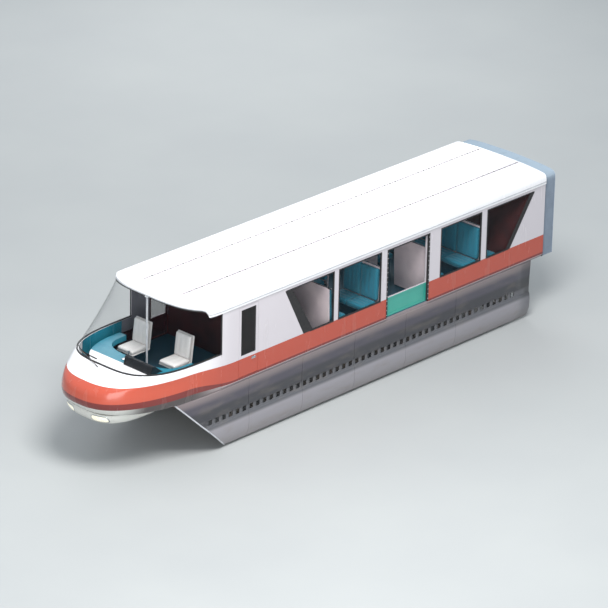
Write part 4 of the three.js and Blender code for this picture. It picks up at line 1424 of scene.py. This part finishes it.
# %% [markdown]
# ## Running gear
# The load tyres run on the beam's top and the small tyres on its sides.
# Their treads are plain circumferential ribs, as on truck tyres. Each is a
# closed profile turned about its own axle, so it turns with its wheel.

# %% Load tyres
TYRE_RADIUS, BEAD = 0.480, 0.2883


def tread(low, high, radius, grooves, depth):
    """A ribbed tread from low to high, as (radius, height) points."""
    pitch = (high - low) / (grooves + 1)
    spots = [(radius - 0.006, low), (radius, low + 0.008)]
    for k in range(grooves):
        middle = low + pitch * (k + 1)
        spots += [(radius, middle - 0.008), (radius - depth, middle - 0.005),
                  (radius - depth, middle + 0.005), (radius, middle + 0.008)]
    return [*spots, (radius, high - 0.008), (radius - 0.006, high)]


LOAD_RING = [
    (BEAD, 0.030), (0.33, 0.020), (0.440, 0.026), (0.466, 0.045), *tread(0.06, 0.26, TYRE_RADIUS, 4, 0.012),
    (0.466, 0.285), (0.430, 0.303), (0.340, 0.306), (BEAD, 0.296)]
for end, station in ENDS.items():
    tyres, nuts = Form(), Form()
    centre = (at(station), 0, AXLE_Z)
    for side in SIDES.values():
        tyres.lathe([(r, side * h) for r, h in LOAD_RING], centre, "Y", 72)
        spots = [(centre[0] + a, side * 0.2102, AXLE_Z + b) for a, b in circle(0.14, 10)]
        nuts.studs(spots, "Y", 0.017, side * 0.026, 6)
    make(f"load_tread_{end}", tyres, paints["tyre_rubber"],
         f"load_wheels_{end}", [f"load_tyres_{end}"])
    make(f"wheel_nuts_{end}", nuts, paints["machined_steel"], f"load_wheels_{end}")
    dress(paints["machined_steel"], f"load_axle_{end}", bevel=0.003)
print("twin load tyres at", [round(at(s), 3) for s in ENDS.values()])

# %% Guide and stabilising wheels
GUIDE_RING = [
    (0.120, -0.050), (0.165, -0.055), (0.200, -0.068), (0.214, -0.050),
    *tread(-0.042, 0.042, 0.220, 2, 0.007), (0.214, 0.050), (0.200, 0.068), (0.165, 0.055), (0.120, 0.050)]
HUB_RING = [
    (0.031, -0.055), (0.060, -0.055), (0.072, -0.040), (0.119, -0.034),
    (0.119, 0.034), (0.072, 0.040), (0.060, 0.055), (0.031, 0.055)]
wheels = [name for name in nodes if name.startswith(("guide_wheel", "stabiliser"))]
for name in wheels:
    low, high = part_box(name)
    centre = tuple((a + b) / 2 for a, b in zip(low, high))
    tyre, hub = Form(), Form()
    tyre.lathe(GUIDE_RING, centre, "Z", 48)
    hub.lathe(HUB_RING, centre, "Z", 40)
    for face in (1, -1):
        spots = [(centre[0] + a, centre[1] + b, centre[2] + face * 0.034) for a, b in circle(0.095, 8)]
        hub.studs(spots, "Z", 0.010, face * 0.012, 6)
    make(f"{name}_tyre", tyre, paints["tyre_rubber"], name, [name])
    make(f"{name}_hub", hub, paints["machined_steel"], name, angle=45)
print(len(wheels), "guide and stabilising wheels")

# %% [markdown]
# ## Frames, underframe and bolts
# Welded frames are primed and painted grey, with road film below. Rows of
# bolt heads show where the plates of each bogie join.

# %% Frames and bolts
BOLTS = (
    # half width, places fore and aft, heights, radius, head
    (0.660, (-0.8, -0.72, 0.72, 0.8), (1.19, 1.25, 1.31), 0.016, 0.014),
    (0.860, (-0.12, 0.12), (0.3, 0.6, 0.9, 1.2), 0.014, 0.012),
)
dress(paints["frame_paint"], "bogie_frame_rear", "bogie_frame_front", bevel=0.005)
dress(paints["primer"], "underframe", bevel=0.003)
dress(paints["cable_cover"], "equipment_block", bevel=0.010)
for end, station in ENDS.items():
    bolts = Form()
    for side in SIDES.values():
        for half, places, heights, radius, head in BOLTS:
            spots = [(at(station) + dx, side * half, z) for dx in places for z in heights]
            bolts.studs(spots, "Y", radius, side * head, 6)
    make(f"bogie_bolts_{end}", bolts, paints["machined_steel"], f"bogie_{end}")
print("bolts on two bogies")

# %% [markdown]
# ## Size and finish
# The last step measures the car with every piece on it and prints how
# much the pieces grew its size.

# %% Size and finish
FULL_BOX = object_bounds()
grown = [round((b - a) - (d - c), 4) for (a, b), (c, d) in zip(zip(*FULL_BOX), zip(*CAD_BOX))]
print(len(made_pieces), "pieces, the size grew by", grown)
